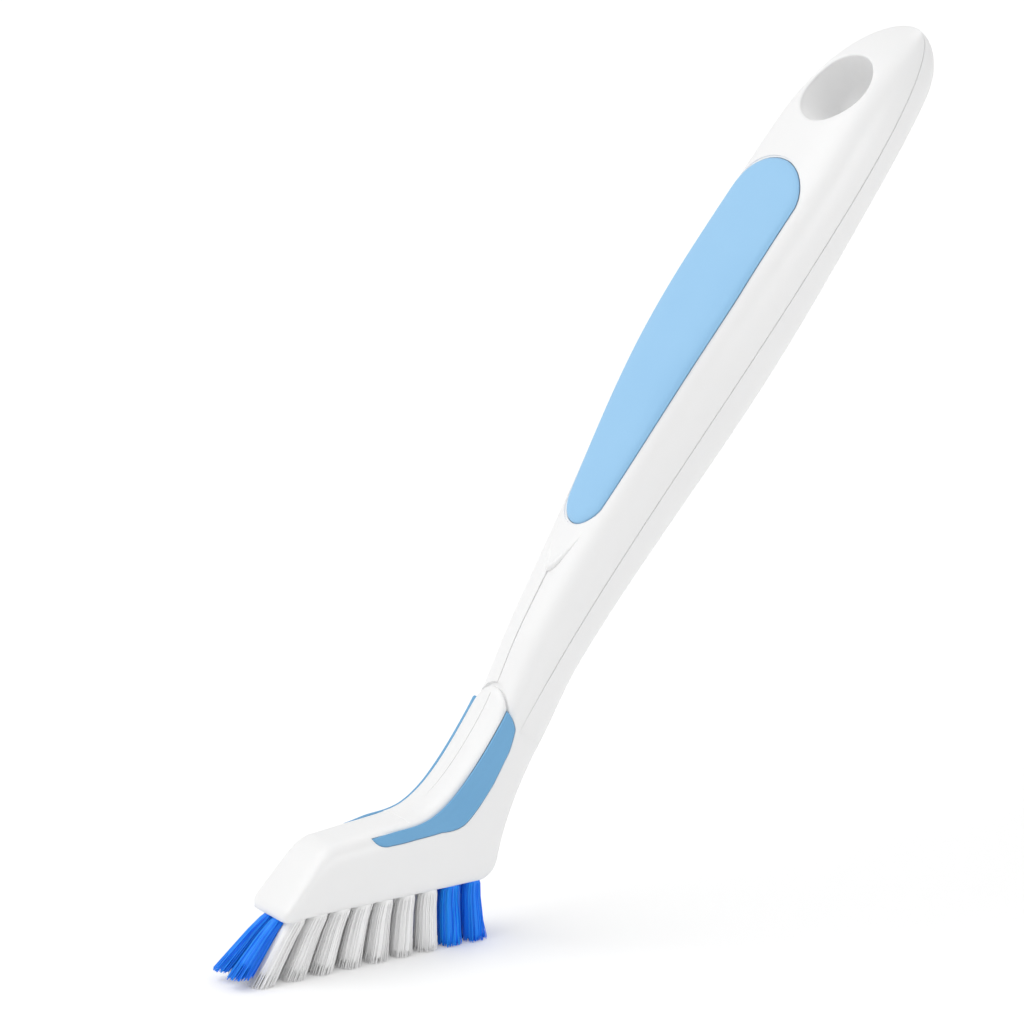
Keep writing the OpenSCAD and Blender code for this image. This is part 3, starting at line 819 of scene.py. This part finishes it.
@dataclass
class Shells:
    """The two white mouldings of the brush: the body in front of the parting line and the back cover."""

    form: BrushForm
    shop: Workshop
    bevel: float = 0.12
    gap: float = 0.09
    arc: int = 81
    closing: int = 49
    saddle_early: float = 3.0
    saddle_inset: float = 1.0
    saddle_round: tuple[float, float] = (1.7, 0.75)
    arch_share: float = 0.9
    arch_reach: float = 7.0
    arch_back: float = 0.8
    groove_wider: float = 0.22
    groove_reach: float = 7.98
    line_half: float = 0.24
    line_deep: float = 0.45
    line_from: float = 6.3
    line_to: float = 31.6
    faint_half: float = 0.14
    faint_deep: float = 0.12
    tongue_len: float = 10.3
    tongue_under_pad: float = 7.0
    tongue_foot: float = 1.2
    tongue_half: float = 5.3
    tongue_high: float = 0.8
    bead_high: float = 0.3
    bead_inset: float = 0.75
    bead_half: float = 0.38
    hole_r: float = 6.6
    hole_from_tip: float = 20.5
    hole_pull: float = 0.6
    # the radius of each rim's mouth, its rounding and how far in the throat starts to widen
    back_rim: tuple[float, float, float] = (7.1, 1.1, 3.0)
    front_rim: tuple[float, float, float] = (8.05, 0.55, 7.0)

    def handle_rings(self, t: Array, half: Half, gap: float) -> Array:
        """Make rings of one half of the handle: its outer arc and the flat parting face.

        The bevel and the gap grow from the neck, and the gap is at its widest at the outer edge.

        Args:
            t: positions along the handle.
            half: which moulding.
            gap: distance of the parting face from the parting curve.

        Returns:
            Rings of points.
        """
        ribs = self.form.handle(t)
        way = half.value
        depth = (ribs.fore if half is Half.FRONT else ribs.aft)[:, None]
        wide = ribs.width[:, None]
        grow = np.clip(0.06 + t[:, None] / 0.12, 0, 1)
        bevel = np.minimum(self.bevel * grow, np.minimum(wide / 4, depth / 3))
        gap = gap * np.clip(0.05 + t[:, None] / 0.08, 0, 1)
        reach = np.arctan2(wide, bevel + gap)
        angle = (0.0 if half is Half.FRONT else np.pi) + reach * np.linspace(-1, 1, self.arc)[None]
        across = way * (wide - bevel) * np.linspace(1, -1, self.closing)[None]
        inside = np.clip((wide - bevel - np.abs(across)) / 0.8, 0, 0.9)
        return np.concatenate([ribs.points(angle), ribs.place(across, way * gap * (1 - inside))], axis=1)

    def full_rings(self, ribs: Ribs) -> Array:
        """Make rings that go all the way round the head, the bend and the neck.

        Args:
            ribs: their cross-sections.

        Returns:
            Rings of points, as many to a ring as the handle's have.
        """
        front = np.linspace(-np.pi / 2, np.pi / 2, self.arc)
        back = np.pi / 2 + np.pi * np.arange(1, self.closing + 1) / (self.closing + 1)
        angle = np.concatenate([front, back])[None] + 0 * ribs.width[:, None]
        return ribs.points(angle)

    def handle_places(self, start: float) -> Array:
        """Spread ribs along the handle, closer together as it rounds off at its tip."""
        return np.concatenate([np.linspace(start, 0.86, 180, endpoint=False),
                               0.86 + 0.1398 * np.sin(np.linspace(0, np.pi / 2, 70))])

    def saddle(self) -> bpy.types.Object:
        """Make the raised saddle that rises between the wings and ends as an arch on the neck.

        Returns:
            The saddle, sunk a little into the body.
        """
        form = self.form
        rise, half = form.wing_from_toe - self.saddle_early, form.head_w / 2 - self.saddle_inset
        arch, reach = self.arch_share * form.neck_w / 2, self.arch_reach
        head = np.linspace(rise, form.bend_x - 0.05, 50)
        bend = np.linspace(0, 0.999, 100)
        neck = 0.02 + (reach - self.arch_back - 0.04) * np.sin(np.linspace(0, np.pi / 2, 60))
        wide = np.concatenate([half + 0 * head, mix(half, arch, swell((bend - 0.55) / 0.45)),
                               arch * dome((neck + self.arch_back) / (reach - 0.001))])
        high = np.concatenate([mix(-0.3, form.step_h, np.clip((head - rise) / 13, 0, 1)),
                               form.step_h + 0 * bend, form.step_h + 0 * neck])
        places = np.concatenate([form.on_head(head), 1 + bend, form.on_handle(neck)])
        run = np.concatenate([head, form.bend_run(bend), form.bend_run(1) + neck])
        return self.shop.loft("saddle", strip(form, places, wide, run).rings(-1.0, high, *self.saddle_round))

    def saddle_line(self) -> bpy.types.Object:
        """Make the tool that carries the split line faintly on over the saddle.

        Returns:
            The tool.
        """
        form = self.form
        bend, neck = np.linspace(0.3, 0.999, 60), np.linspace(0.02, 4.6, 20)
        places = np.concatenate([1 + bend, form.on_handle(neck)])
        grow = np.concatenate([np.clip((bend - 0.3) / 0.3, 0.1, 1), 1 + 0 * neck])
        patch = strip(form, places, self.faint_half * grow, places, 5)
        return self.shop.loft("saddle_line", patch.rings(form.step_h - self.faint_deep * grow, 2.0))

    def arch_groove(self) -> bpy.types.Object:
        """Make the tool for the recess that outlines the saddle's arch on the neck.

        Returns:
            The tool.
        """
        form = self.form
        arch = self.arch_share * form.neck_w / 2 + self.groove_wider
        bend = np.linspace(0.86, 0.999, 20)
        neck = 0.02 + (self.groove_reach - self.arch_back - 0.03) * np.sin(np.linspace(0, np.pi / 2, 60))
        wide = np.concatenate([arch + 0 * bend, arch * dome((neck + self.arch_back) / self.groove_reach)])
        places = np.concatenate([1 + bend, form.on_handle(neck)])
        run = np.concatenate([form.bend_run(bend), form.bend_run(1) + neck])
        return self.shop.loft("arch_groove", strip(form, places, wide, run).rings(-0.55, 1.5))

    def tongue(self, pad_foot: float) -> bpy.types.Object:
        """Make the raised tongue that runs down the neck from the foot of the pad.

        It has a bead a little inside its rim, a bell curve across, that fades towards the pad.

        Args:
            pad_foot: distance of the pad's foot from the neck.

        Returns:
            The tongue.
        """
        form, length = self.form, self.tongue_len + self.tongue_under_pad
        p = length * (1 - np.cos(np.linspace(0.03, np.pi / 2, 90)))
        wide = mix(self.tongue_foot, self.tongue_half, np.clip(p / 11, 0, 1)) * dome(1 - p / 2.2)
        places = form.on_handle(pad_foot - self.tongue_len + p)
        high = mix(self.tongue_high, -0.4, np.clip(p / length, 0, 1))
        patch = strip(form, places, wide, p)
        rim = patch.edge_distance(form.ribs(places), patch.angles())
        bead = self.bead_high * np.exp(-(((rim - self.bead_inset) / self.bead_half) ** 2))
        bead = bead * (1 - swell(p / 7))[:, None]
        return self.shop.loft("tongue", patch.rings(-1.2, high[:, None] - 0.15 + bead, 0.5))

    def crease(self) -> bpy.types.Object:
        """Make the tool that scores the fine split line up the middle of the neck, wider upwards.

        Returns:
            The tool.
        """
        p = np.linspace(self.line_from, self.line_to, 90)
        grow = mix(0.55, 1.0, (p - self.line_from) / (self.line_to - self.line_from))
        patch = strip(self.form, self.form.on_handle(p), self.line_half * grow, p, 5)
        return self.shop.loft("crease", patch.rings(-self.line_deep * grow, 2.0))

    def hanging_hole(self) -> bpy.types.Object:
        """Make the tool for the hanging hole: a round throat whose rims round over into the skin.

        At each angle round the hole the rim is a quarter circle that ends on the skin's own height.
        In front the circles are drawn towards the neck as they widen.

        Returns:
            The tool.
        """
        form = self.form
        t = 1 - self.hole_from_tip / form.handle_len
        middle = form.handle(np.array([t]))
        centre, front = middle.centre[0], middle.front[0]
        ahead = np.array([front[1], -front[0]])
        turn = np.linspace(0, 2 * np.pi, 121)[:-1]

        def skin_height(radius: float, half: Half) -> Array:
            """Give the skin's height over the parting round a circle.

            Args:
                radius: the circle's radius.
                half: whose skin.

            Returns:
                Heights, one for each angle.
            """
            along, y = radius * np.cos(turn), radius * np.sin(turn)
            ribs = form.handle(t + along / form.handle_len)
            depth, power = ((ribs.fore, ribs.fore_square) if half is Half.FRONT
                            else (ribs.aft, ribs.aft_square))
            q = np.clip(np.abs(y) / ribs.width, 0, 0.999)
            return (ribs.centre - centre) @ front + half.value * depth * (1 - q**power) ** (1 / power)

        deep = np.linspace(1, 0, 16)
        steps = np.radians(np.linspace(0, 84, 10))
        rings = []
        for half, mouth, edge, reach in ((Half.BACK, *self.back_rim), (Half.FRONT, *self.front_rim)):
            skin = skin_height(mouth + 0.5 * edge, half)
            side = [(self.hole_r + (mouth - self.hole_r) * (1 - v) ** 2, edge + reach * v) for v in deep]
            side += [(mouth + edge * (1 - math.cos(a)), edge * (1 - math.sin(a))) for a in steps[1:]]
            side += [(side[-1][0] + 0.9, -0.25), (side[-1][0] + 1.1, -6.0)]
            placed = [(radius, skin - half.value * depth) for radius, depth in side]
            rings += placed[::-1] if half is Half.BACK else placed
        made = []
        for i, (radius, height) in enumerate(rings):
            pull = max(0.0, radius - self.hole_r) * self.hole_pull * (i > len(rings) / 2)
            along, y = radius * np.cos(turn) - pull, radius * np.sin(turn)
            place = centre + along[:, None] * ahead + np.asarray(height)[:, None] * front
            made.append(np.stack([place[:, 0], y, place[:, 1]], 1))
        return self.shop.loft("hole_tool", np.array(made))

    def drill(self, bristles: "Bristles") -> bpy.types.Object:
        """Make the tool for all the tufts' holes, which starts below their mouths.

        Args:
            bristles: gives the holes.

        Returns:
            The tool.
        """
        tufts = bristles.tufts()
        paths = np.array([[tuft.root + step * tuft.axis for step in (-2.5, tuft.depth)] for tuft in tufts])
        thick = np.array([[tuft.radius, tuft.radius] for tuft in tufts])
        return self.shop.tubes("drill", paths, thick, 24)

    def body(self, bristles: "Bristles", inlays: "Inlays") -> bpy.types.Object:
        """Make the body moulding: head, bend, neck and the front half of the handle.

        Its ribs stand closest at the toe, which rounds off within 1.5 mm.

        Args:
            bristles: gives the holes.
            inlays: gives the pockets.

        Returns:
            The body.
        """
        form = self.form
        head = np.concatenate([[0, 0.05, 0.12, 0.2, 0.3, 0.45, 0.65, 0.9, 1.2, 1.5], np.linspace(2, 8, 12),
                               np.linspace(8.4, 14, 22), np.linspace(14.8, form.bend_x - 0.3, 24)])
        places = np.concatenate([form.on_head(head), 1 + np.linspace(0, 1, 100)])
        solid = self.full_rings(form.ribs(np.where(places >= 2, 2.0, places)))
        half = self.handle_rings(self.handle_places(0.00001), Half.FRONT, 0.0)
        body = self.shop.loft("brush_shell", np.concatenate([solid, half]))
        self.shop.carve(body, [
            (self.crease(), "DIFFERENCE"),
            (self.arch_groove(), "DIFFERENCE"),
            (self.saddle(), "UNION"),
            (self.saddle_line(), "DIFFERENCE"),
            (self.tongue(inlays.pad_foot), "UNION"),
            (inlays.pocket_step(), "DIFFERENCE"),
            (inlays.pocket(), "DIFFERENCE"),
            *((inlays.wing_pocket(side), "DIFFERENCE") for side in Side),
            (self.hanging_hole(), "DIFFERENCE"),
            (self.drill(bristles), "DIFFERENCE"),
        ])
        return body

    def cover(self) -> bpy.types.Object:
        """Make the back cover: the back half of the handle with its own half of the hanging hole.

        Returns:
            The cover.
        """
        rings = self.handle_rings(self.handle_places(0.00004), Half.BACK, self.gap)
        cover = self.shop.loft("handle_back", rings)
        self.shop.carve(cover, [(self.hanging_hole(), "DIFFERENCE")])
        return cover


@dataclass
class Inlays:
    """The soft pad on the grip and the two soft wings on the neck, with their pockets."""

    form: BrushForm
    shop: Workshop
    pad_len: float = 76.8
    pad_from_tip: float = 39.2
    pad_w: float = 20.6
    pad_foot_w: float = 9.6
    pad_top_share: float = 0.42
    pad_full_share: float = 0.66
    pad_t: float = 1.6
    pad_proud: float = 0.5
    pad_round: tuple[float, float] = (2.2, 0.9)
    pocket_step_w: float = 0.3
    pocket_step_deep: float = 0.22
    wing_t: float = 1.3
    wing_drop: float = 3.0
    wing_proud: float = 0.3
    wing_lift: float = 0.65
    wing_lift_fades: float = 2.2
    wing_round: float = 0.45
    wing_deeper: float = 3.6
    wing_nose: float = 3.5
    wing_bend: float = 18.0
    wing_top: float = 2.7
    wing_close: float = 7.8
    gap: float = 0.1

    @property
    def pad_foot(self) -> float:
        """How far from the neck the pad starts."""
        return self.form.handle_len - self.pad_from_tip - self.pad_len

    def pad_patch(self, grow: float) -> Patch:
        """Lay out the pad: a long teardrop with a round top and a small round foot.

        The half width grows by a power of the distance from the foot and closes with a quarter
        ellipse at each end.

        Args:
            grow: distance by which the outline is widened all round.

        Returns:
            The strip.
        """
        foot, top, length = self.pad_foot_w / 2, self.pad_top_share * self.pad_w, self.pad_len
        p = np.concatenate([foot * (1 - np.cos(np.linspace(0.02, np.pi / 2, 40))),
                            np.linspace(foot, length - top, 90)[1:-1],
                            length - top * (1 - np.sin(np.linspace(0, np.pi / 2 - 0.02, 50)))])
        left = 1 - np.clip(p / (self.pad_full_share * length), 0, 1)
        half = self.pad_w / 2 - (self.pad_w - self.pad_foot_w) / 2 * left**1.6
        half = half * dome(1 - p / foot) * dome(1 - (length - p) / top) + grow
        stretched = length / 2 + (p - length / 2) * (1 + 2 * grow / length)
        return strip(self.form, self.form.on_handle(self.pad_foot + stretched), half, stretched, 72)

    def pocket(self) -> bpy.types.Object:
        """Make the tool for the pad's pocket."""
        depth = self.pad_t - self.pad_proud
        return self.shop.loft("pocket", self.pad_patch(self.gap).rings(-depth - self.gap, 2.5))

    def pocket_step(self) -> bpy.types.Object:
        """Make the tool for the shallow step round the pocket's mouth."""
        patch = self.pad_patch(self.gap + self.pocket_step_w)
        return self.shop.loft("pocket_step", patch.rings(-self.pocket_step_deep, 2.5))

    def pad(self) -> bpy.types.Object:
        """Make the soft pad with its rounded edge."""
        depth = self.pad_t - self.pad_proud
        rings = self.pad_patch(0).rings(-depth, self.pad_proud, *self.pad_round)
        return self.shop.loft("grip_inlay", rings)

    def wing_patch(self, side: Side, gap: float) -> Patch:
        """Lay out a wing: a strip beside the saddle that deepens round the bend and ends on the neck.

        Its depth starts as a sine over the nose and fades to its upper end as a rounded arc.

        Args:
            side: which wing.
            gap: distance by which the outline is drawn in.

        Returns:
            The strip.
        """
        form, nose, drop = self.form, self.wing_nose, self.wing_drop
        deep = drop + self.wing_deeper
        turn = np.linspace(0.28, np.pi / 2, 30)
        head = form.wing_from_toe + nose * (1 - np.cos(turn))
        level = np.linspace(form.wing_from_toe + nose, form.bend_x, 30)[1:-1]
        u = np.linspace(0, 0.995, 90)
        neck = 0.05 + (self.wing_top - 0.05) * np.sin(np.linspace(0, np.pi / 2, 40))
        places = np.concatenate([form.on_head(head), form.on_head(level), 1 + u, form.on_handle(neck)])
        rest = np.concatenate([form.bend_len * (1 - u) + self.wing_top, self.wing_top - neck])
        fade = (1 - np.clip(1 - rest / self.wing_close, 0, 0.999) ** 2) ** 0.8
        round_bend = mix(drop, deep, swell(11 * u / 5)) - swell((11 * u - 5) / 6)
        full = np.concatenate([round_bend, deep - 1 + 0 * neck])
        below = np.concatenate([drop * np.sin(turn), drop + 0 * level, 0.8 + (full - 0.8) * fade])
        far = form.bend_x + self.wing_bend
        run = np.concatenate([head, level, form.bend_x + self.wing_bend * u, far + neck])
        ribs = form.ribs(places)
        inner = ribs.angle_at(form.head_w / 2 - self.wing_t + gap + 0 * below)
        size = np.hypot(ribs.width, 0.5 * ribs.fore)
        lower = np.maximum(ribs.angle_below(below) - gap / size, inner + 0.02)
        return Patch(form, places, side.value * inner, side.value * lower, run, mirrored=False, columns=36)

    def wing_pocket(self, side: Side) -> bpy.types.Object:
        """Make the tool for a wing's pocket."""
        return self.shop.loft("wing_pocket", self.wing_patch(side, 0).rings(-self.wing_t, 2.0))

    def wing(self, side: Side) -> bpy.types.Object:
        """Make a soft wing with rounded edges, a little fuller beside the saddle.

        Args:
            side: which wing.

        Returns:
            The wing.
        """
        patch = self.wing_patch(side, self.gap)
        ribs = self.form.ribs(patch.places)
        grow = swell((patch.run - patch.run[0]) / 7)[:, None]
        across = patch.travel(ribs, patch.angles()) / self.wing_lift_fades
        high = self.wing_proud + self.wing_lift * grow * (1 - swell(across))
        rings = patch.rings(-self.wing_t + self.gap, high, self.wing_round)
        return self.shop.loft(f"neck_inlay_{side.name.lower()}", rings)


@dataclass(frozen=True)
class Tuft:
    """One bristle tuft: where it leaves the head, how it leans and how far it reaches."""

    node: str
    root: Array
    lean: float
    tip_lean: float
    drop: float
    radius: float
    depth: float
    aside: float
    spread: float
    strands: int
    blue: bool

    @property
    def axis(self) -> Array:
        """The hole's unit direction, upwards."""
        return np.array([math.sin(math.radians(self.lean)), 0.0, math.cos(math.radians(self.lean))])


@dataclass
class Bristles:
    """Two rows of nine tufts and a pair of long tufts that reach out past the toe.

    The holes lean as the solid model's do. Below them the strands go over to leans of their own,
    matched to the photograph.
    """

    form: BrushForm
    shop: Workshop
    count: int = 9
    whites: int = 7
    row_start: float = 4.5
    pitch: float = 4.9
    row_gap: float = 6.6
    tuft_r: float = 1.5
    tuft_depth: float = 6.0
    row_lean: float = 29.5
    heel_lean: float = 5.5
    tip_row_lean: float = 33.5
    tip_heel_lean: float = 3.0
    row_aside: float = 0.3
    row_spread: float = 1.68
    toe_x: float = 1.8
    toe_gap: float = 3.0
    toe_r: float = 1.15
    toe_depth: float = 4.6
    toe_lean: float = 43.5
    toe_drop: float = 9.95
    toe_aside: float = 1.2
    toe_spread: float = 2.1
    flare: float = 1.3
    forward: float = 0.6
    strands: int = 200
    toe_strands: int = 150
    strand_r: float = 0.1
    uneven: float = 0.2
    strays: float = 0.05
    stray_play: float = 0.45
    play: float = 0.1
    core_under: float = 0.27

    def tufts(self) -> list[Tuft]:
        """List the tufts, which lean towards the toe at the front and a little to the heel at the back.

        Returns:
            The near toe tuft and row, then the far ones.
        """
        made, under = [], self.form.under
        for side in Side:
            y, name = side.value, side.name.lower()
            root = np.array([self.toe_x, y * self.toe_gap / 2, under])
            made.append(Tuft(f"tuft_toe_{name}", root, self.row_lean, self.toe_lean, self.toe_drop,
                             self.toe_r, self.toe_depth, y * self.toe_aside, self.toe_spread,
                             self.toe_strands, True))
            for i in range(self.count):
                u = i / (self.count - 1)
                lean = self.row_lean * (1 - u) ** 2 - self.heel_lean * u**3
                tip_lean = self.tip_row_lean * (1 - u) ** 1.6 - self.tip_heel_lean * u**3
                root = np.array([self.row_start + self.pitch * i, y * self.row_gap / 2, under])
                made.append(Tuft(f"tuft_{name}_{i + 1}", root, lean, tip_lean, under, self.tuft_r,
                                 self.tuft_depth, y * self.row_aside, self.row_spread, self.strands,
                                 i >= self.whites))
        return made

    def course(self, tuft: Tuft, seats: Array, falls: Array, u: Array) -> Array:
        """Run strands from their seats to their places in the spread tip.

        Below the mouth the seats' pattern widens as a straight fan, the lean goes over to that of the
        tip, and the whole tuft is drawn a little towards the toe.

        Args:
            tuft: which tuft.
            seats: places round the hole's middle, one row for each strand.
            falls: how far each strand reaches down.
            u: stations along the strands, from 0 at the mouth to 1 at the tip.

        Returns:
            Strands, stations, and X, Y, Z.
        """
        u = u[None, :, None]
        down = falls[:, None, None] * u
        start, end = (math.tan(math.radians(lean)) for lean in (tuft.lean, tuft.tip_lean))
        ahead = -mix(start, end, np.minimum(1, 4 * u)) * down - self.forward * np.minimum(1, 8 * u)
        shift = np.concatenate([ahead, tuft.aside * u + 0 * down, -down], 2)
        return tuft.root + seats[:, None] * mix(self.flare, tuft.spread, u) + shift

    def core(self, tuft: Tuft) -> tuple[Array, Array]:
        """Run the closed core that stands for the strands in the tuft's middle and fills its hole.

        It is thinner than the bundle by core_under all round, and thinner again where the tips lean
        more than the hole. It ends above the tips by the rise of its slanting end.

        Args:
            tuft: which tuft.

        Returns:
            Its path and its radius at each station.
        """
        plug = np.array([tuft.depth - 0.1, tuft.depth - 0.2, tuft.depth - 0.5, tuft.depth - 1.0, 0.3])
        level = min(1, math.cos(math.radians(tuft.tip_lean)) / math.cos(math.radians(tuft.lean)))
        tip_r = tuft.radius * tuft.spread * level - self.core_under
        end = 1 - (0.35 + 0.9 * tip_r * abs(math.sin(math.radians(tuft.tip_lean)))) / tuft.drop
        u = end * np.array([0.08, 0.25, 0.5, 0.75, 0.92, 0.985, 1.0])
        below = self.course(tuft, np.zeros((1, 3)), np.array([tuft.drop]), u)[0]
        wide = tuft.radius * mix(self.flare, tuft.spread, u) * level - self.core_under
        path = np.concatenate([tuft.root + plug[:, None] * tuft.axis, below])
        radii = np.concatenate([(tuft.radius - 0.05) * np.array([0.25, 0.6, 0.86, 1.0, 1.0]),
                                wide * np.array([1, 1, 1, 1, 0.97, 0.85, 0.5])])
        return path, radii

    def tuft(self, tuft: Tuft, rng: np.random.Generator) -> bpy.types.Object:
        """Make one tuft: strands on a sunflower spiral, each with its own play, round the core.

        Args:
            tuft: which tuft.
            rng: source of the strands' play.

        Returns:
            The tuft.
        """
        n = tuft.strands
        reach = np.sqrt((np.arange(n) + 0.5) / n) * (tuft.radius - self.strand_r)
        turn = np.arange(n) * GOLDEN_ANGLE + rng.normal(0, 0.1, n)
        ahead = reach * np.cos(turn) / math.cos(math.radians(tuft.lean))
        seats = np.stack([ahead, reach * np.sin(turn), 0 * reach], 1)
        rise = np.array([math.tan(math.radians(tuft.lean)), 0, 1.0])
        falls = tuft.drop - 0.05 - np.abs(rng.normal(0, self.uneven, n))
        stray = rng.normal(0, 1, (n, 3)) * [1, 1, 0]
        stray *= np.where(rng.uniform(0, 1, n) < self.strays, self.stray_play, self.play)[:, None]
        u = np.array([0.08, 0.3, 0.62, 1.0])
        strands = self.course(tuft, seats, falls, u) + stray[:, None] * u[:, None] ** 2
        top = (tuft.root + seats)[:, None] + np.array([1.1, 0.1])[:, None] * rise
        paths = np.concatenate([top, strands], axis=1)
        thick = self.strand_r * np.array([1, 1, 1, 0.98, 0.94, 0.85])[None] * np.ones((n, 1))
        path, radii = self.core(tuft)
        tone = rng.uniform(0, 1, n)
        return self.shop.tubes(f"bristle_{tuft.node}", paths, thick, 5, tone, path[None], radii[None])

    def build(self, white: bpy.types.Material, blue: bpy.types.Material) -> None:
        """Make and dress every tuft.

        Args:
            white: the white strands' material.
            blue: the blue strands' material.
        """
        rng = np.random.default_rng(17)
        for tuft in self.tufts():
            piece = self.tuft(tuft, rng)
            slot = "blue_bristle" if tuft.blue else "white_bristle"
            self.shop.finish(piece, blue if tuft.blue else white, slot, [tuft.node], 80.0)


@dataclass
class Studio:
    """Camera, pale floor and soft lights; the target is in millimetres from the toe."""

    target: tuple[float, float, float] = (55.012, 0.0, 82.984)
    back: tuple[float, float, float] = (-0.52084, -0.80202, 0.29237)
    distance: float = 1500.0
    lens: float = 276.86
    sensor: float = 36.0
    floor_colour: str = "#EDEDED"
    floor_reach: float = 6.0
    glow_reach: tuple[float, float] = (0.4, 2.2)
    glow: tuple[float, float] = (0.2, 0.48)
    sky: float = 0.62
    lamps: tuple[tuple[str, tuple[float, float, float], float, float], ...] = (
        ("key", (-0.73, 0.29, 0.95), 1.3, 8.4),
        ("fill", (0.45, -1.15, 0.16), 0.6, 4.2),
        ("rim", (0.75, 0.5, 0.7), 0.6, 1.2),
    )

    def camera(self, middle_x: float) -> None:
        """Stand the camera where the photograph was taken.

        Args:
            middle_x: distance from the toe to the origin in millimetres.
        """
        data = bpy.data.cameras.new("camera")
        data.lens, data.sensor_width, data.clip_end = self.lens, self.sensor, 50.0
        camera = bpy.data.objects.new("camera", data)
        back = Vector(self.back).normalized()
        aim = Vector((self.target[0] - middle_x, self.target[1], self.target[2])) * MM
        camera.location = aim + back * self.distance * MM
        camera.rotation_euler = back.to_track_quat("Z", "Y").to_euler()
        bpy.context.scene.collection.objects.link(camera)
        bpy.context.scene.camera = camera

    def floor(self) -> None:
        """Lay a wide pale floor that keeps the brush's shadow and looks white to the camera.

        To the camera and in reflections it glows, and more with the distance, so that it doesn't turn
        grey towards its far edge. The glow doesn't light the brush's matt surfaces.
        """
        material, tree = new_material("studio_floor")
        path = add_node(tree, "ShaderNodeLightPath")
        seen = path.outputs["Is Camera Ray"]
        for other in ("Is Glossy Ray", "Is Transmission Ray"):
            inputs = {0: seen, 1: path.outputs[other]}
            seen = add_node(tree, "ShaderNodeMath", inputs, operation="ADD", use_clamp=True).outputs[0]
        place = add_node(tree, "ShaderNodeTexCoord").outputs["Object"]
        away = add_node(tree, "ShaderNodeVectorMath", {0: place}, operation="LENGTH").outputs["Value"]
        (near, far), (low, high) = self.glow_reach, self.glow
        level = add_node(tree, "ShaderNodeMapRange", {
            "Value": away, "From Min": near, "From Max": far, "To Min": low, "To Max": high})
        inputs = {0: seen, 1: level.outputs["Result"]}
        glow = add_node(tree, "ShaderNodeMath", inputs, operation="MULTIPLY").outputs[0]
        matt = add_node(tree, "ShaderNodeBsdfDiffuse", {"Color": linear(self.floor_colour)})
        lit = add_node(tree, "ShaderNodeEmission", {"Color": (1.0, 1.0, 1.0, 1.0), "Strength": glow})
        both = add_node(tree, "ShaderNodeAddShader", {0: matt.outputs[0], 1: lit.outputs[0]})
        add_node(tree, "ShaderNodeOutputMaterial", {"Surface": both.outputs[0]})
        mesh = bpy.data.meshes.new("floor")
        ends = (-self.floor_reach, self.floor_reach)
        mesh.from_pydata([(x, y, 0.0) for y in ends for x in ends], [], [(0, 1, 3, 2)])
        mesh.materials.append(material)
        floor = bpy.data.objects.new("floor", mesh)
        bpy.context.scene.collection.objects.link(floor)

    def lamp(self, name: str, place: tuple[float, float, float], size: float, watts: float) -> None:
        """Hang one square soft lamp that faces the middle of the brush.

        Args:
            name: the lamp's name.
            place: where it hangs, in metres.
            size: its side in metres.
            watts: its power.
        """
        data = bpy.data.lights.new(name, "AREA")
        data.shape, data.size, data.energy = "SQUARE", size, watts
        lamp = bpy.data.objects.new(name, data)
        lamp.location = place
        lamp.rotation_euler = (Vector(place) - Vector((0, 0, 0.08))).to_track_quat("Z", "Y").to_euler()
        bpy.context.scene.collection.objects.link(lamp)

    def light(self) -> None:
        """Light the brush: a plain world, whiter to the camera than to the brush, and three soft lamps."""
        world = bpy.data.worlds.new("studio_world")
        world.use_nodes = True
        tree = world.node_tree
        tree.nodes.clear()
        path = add_node(tree, "ShaderNodeLightPath")
        inputs = {0: path.outputs["Is Camera Ray"], 1: path.outputs["Is Transmission Ray"]}
        seen = add_node(tree, "ShaderNodeMath", inputs, operation="MAXIMUM").outputs[0]
        strength = add_node(tree, "ShaderNodeMapRange", {"Value": seen, "To Min": self.sky, "To Max": 1.0})
        sky = add_node(tree, "ShaderNodeBackground", {
            "Color": (1.0, 1.0, 1.0, 1.0), "Strength": strength.outputs[0]})
        add_node(tree, "ShaderNodeOutputWorld", {"Surface": sky.outputs[0]})
        bpy.context.scene.world = world
        bpy.context.scene.view_settings.view_transform = "Standard"
        for name, place, size, watts in self.lamps:
            self.lamp(name, place, size, watts)


def main() -> None:
    """Build the brush, dress it, and stage it."""
    logging.basicConfig(level=logging.INFO, format="%(name)s: %(message)s")
    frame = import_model()
    middle_x = -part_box("brush_body")[0].x / MM
    shop = Workshop(middle_x)
    studio = Studio()
    studio.camera(middle_x)
    studio.floor()
    studio.light()

    white = MouldedPolypropylene().build()
    pad = SoftGripElastomer("soft_grip_sky_blue", "#97C8EC", "#92C3E9").build()
    wing = SoftGripElastomer("soft_grip_mid_blue", "#70ABD6", "#6AA6D2").build()
    white_nylon = NylonFilament("white_nylon", "#FFFFFF", "#F2F2F2").build()
    blue_nylon = NylonFilament("blue_nylon", "#1AA2FF", "#0062F8").build()
    wire = FlatWire().build()

    form = BrushForm()
    bristles = Bristles(form, shop)
    inlays = Inlays(form, shop)
    shells = Shells(form, shop)
    shop.finish(shells.body(bristles, inlays), white, "white_plastic", ["brush_body"])
    shop.finish(shells.cover(), white, "white_plastic", ["back_cover"])
    shop.finish(inlays.pad(), pad, "soft_grip", ["grip_pad"])
    for side in Side:
        shop.finish(inlays.wing(side), wing, "soft_grip", [f"neck_wing_{side.name.lower()}"])
    bristles.build(white_nylon, blue_nylon)
    for side in Side:
        node = frame["nodes"][f"tuft_anchors_{side.name.lower()}"]
        for place in node.material_slots:
            place.material = wire
        log.info("%s: kept from the solid model", node.name)


if __name__ == "__main__":
    main()
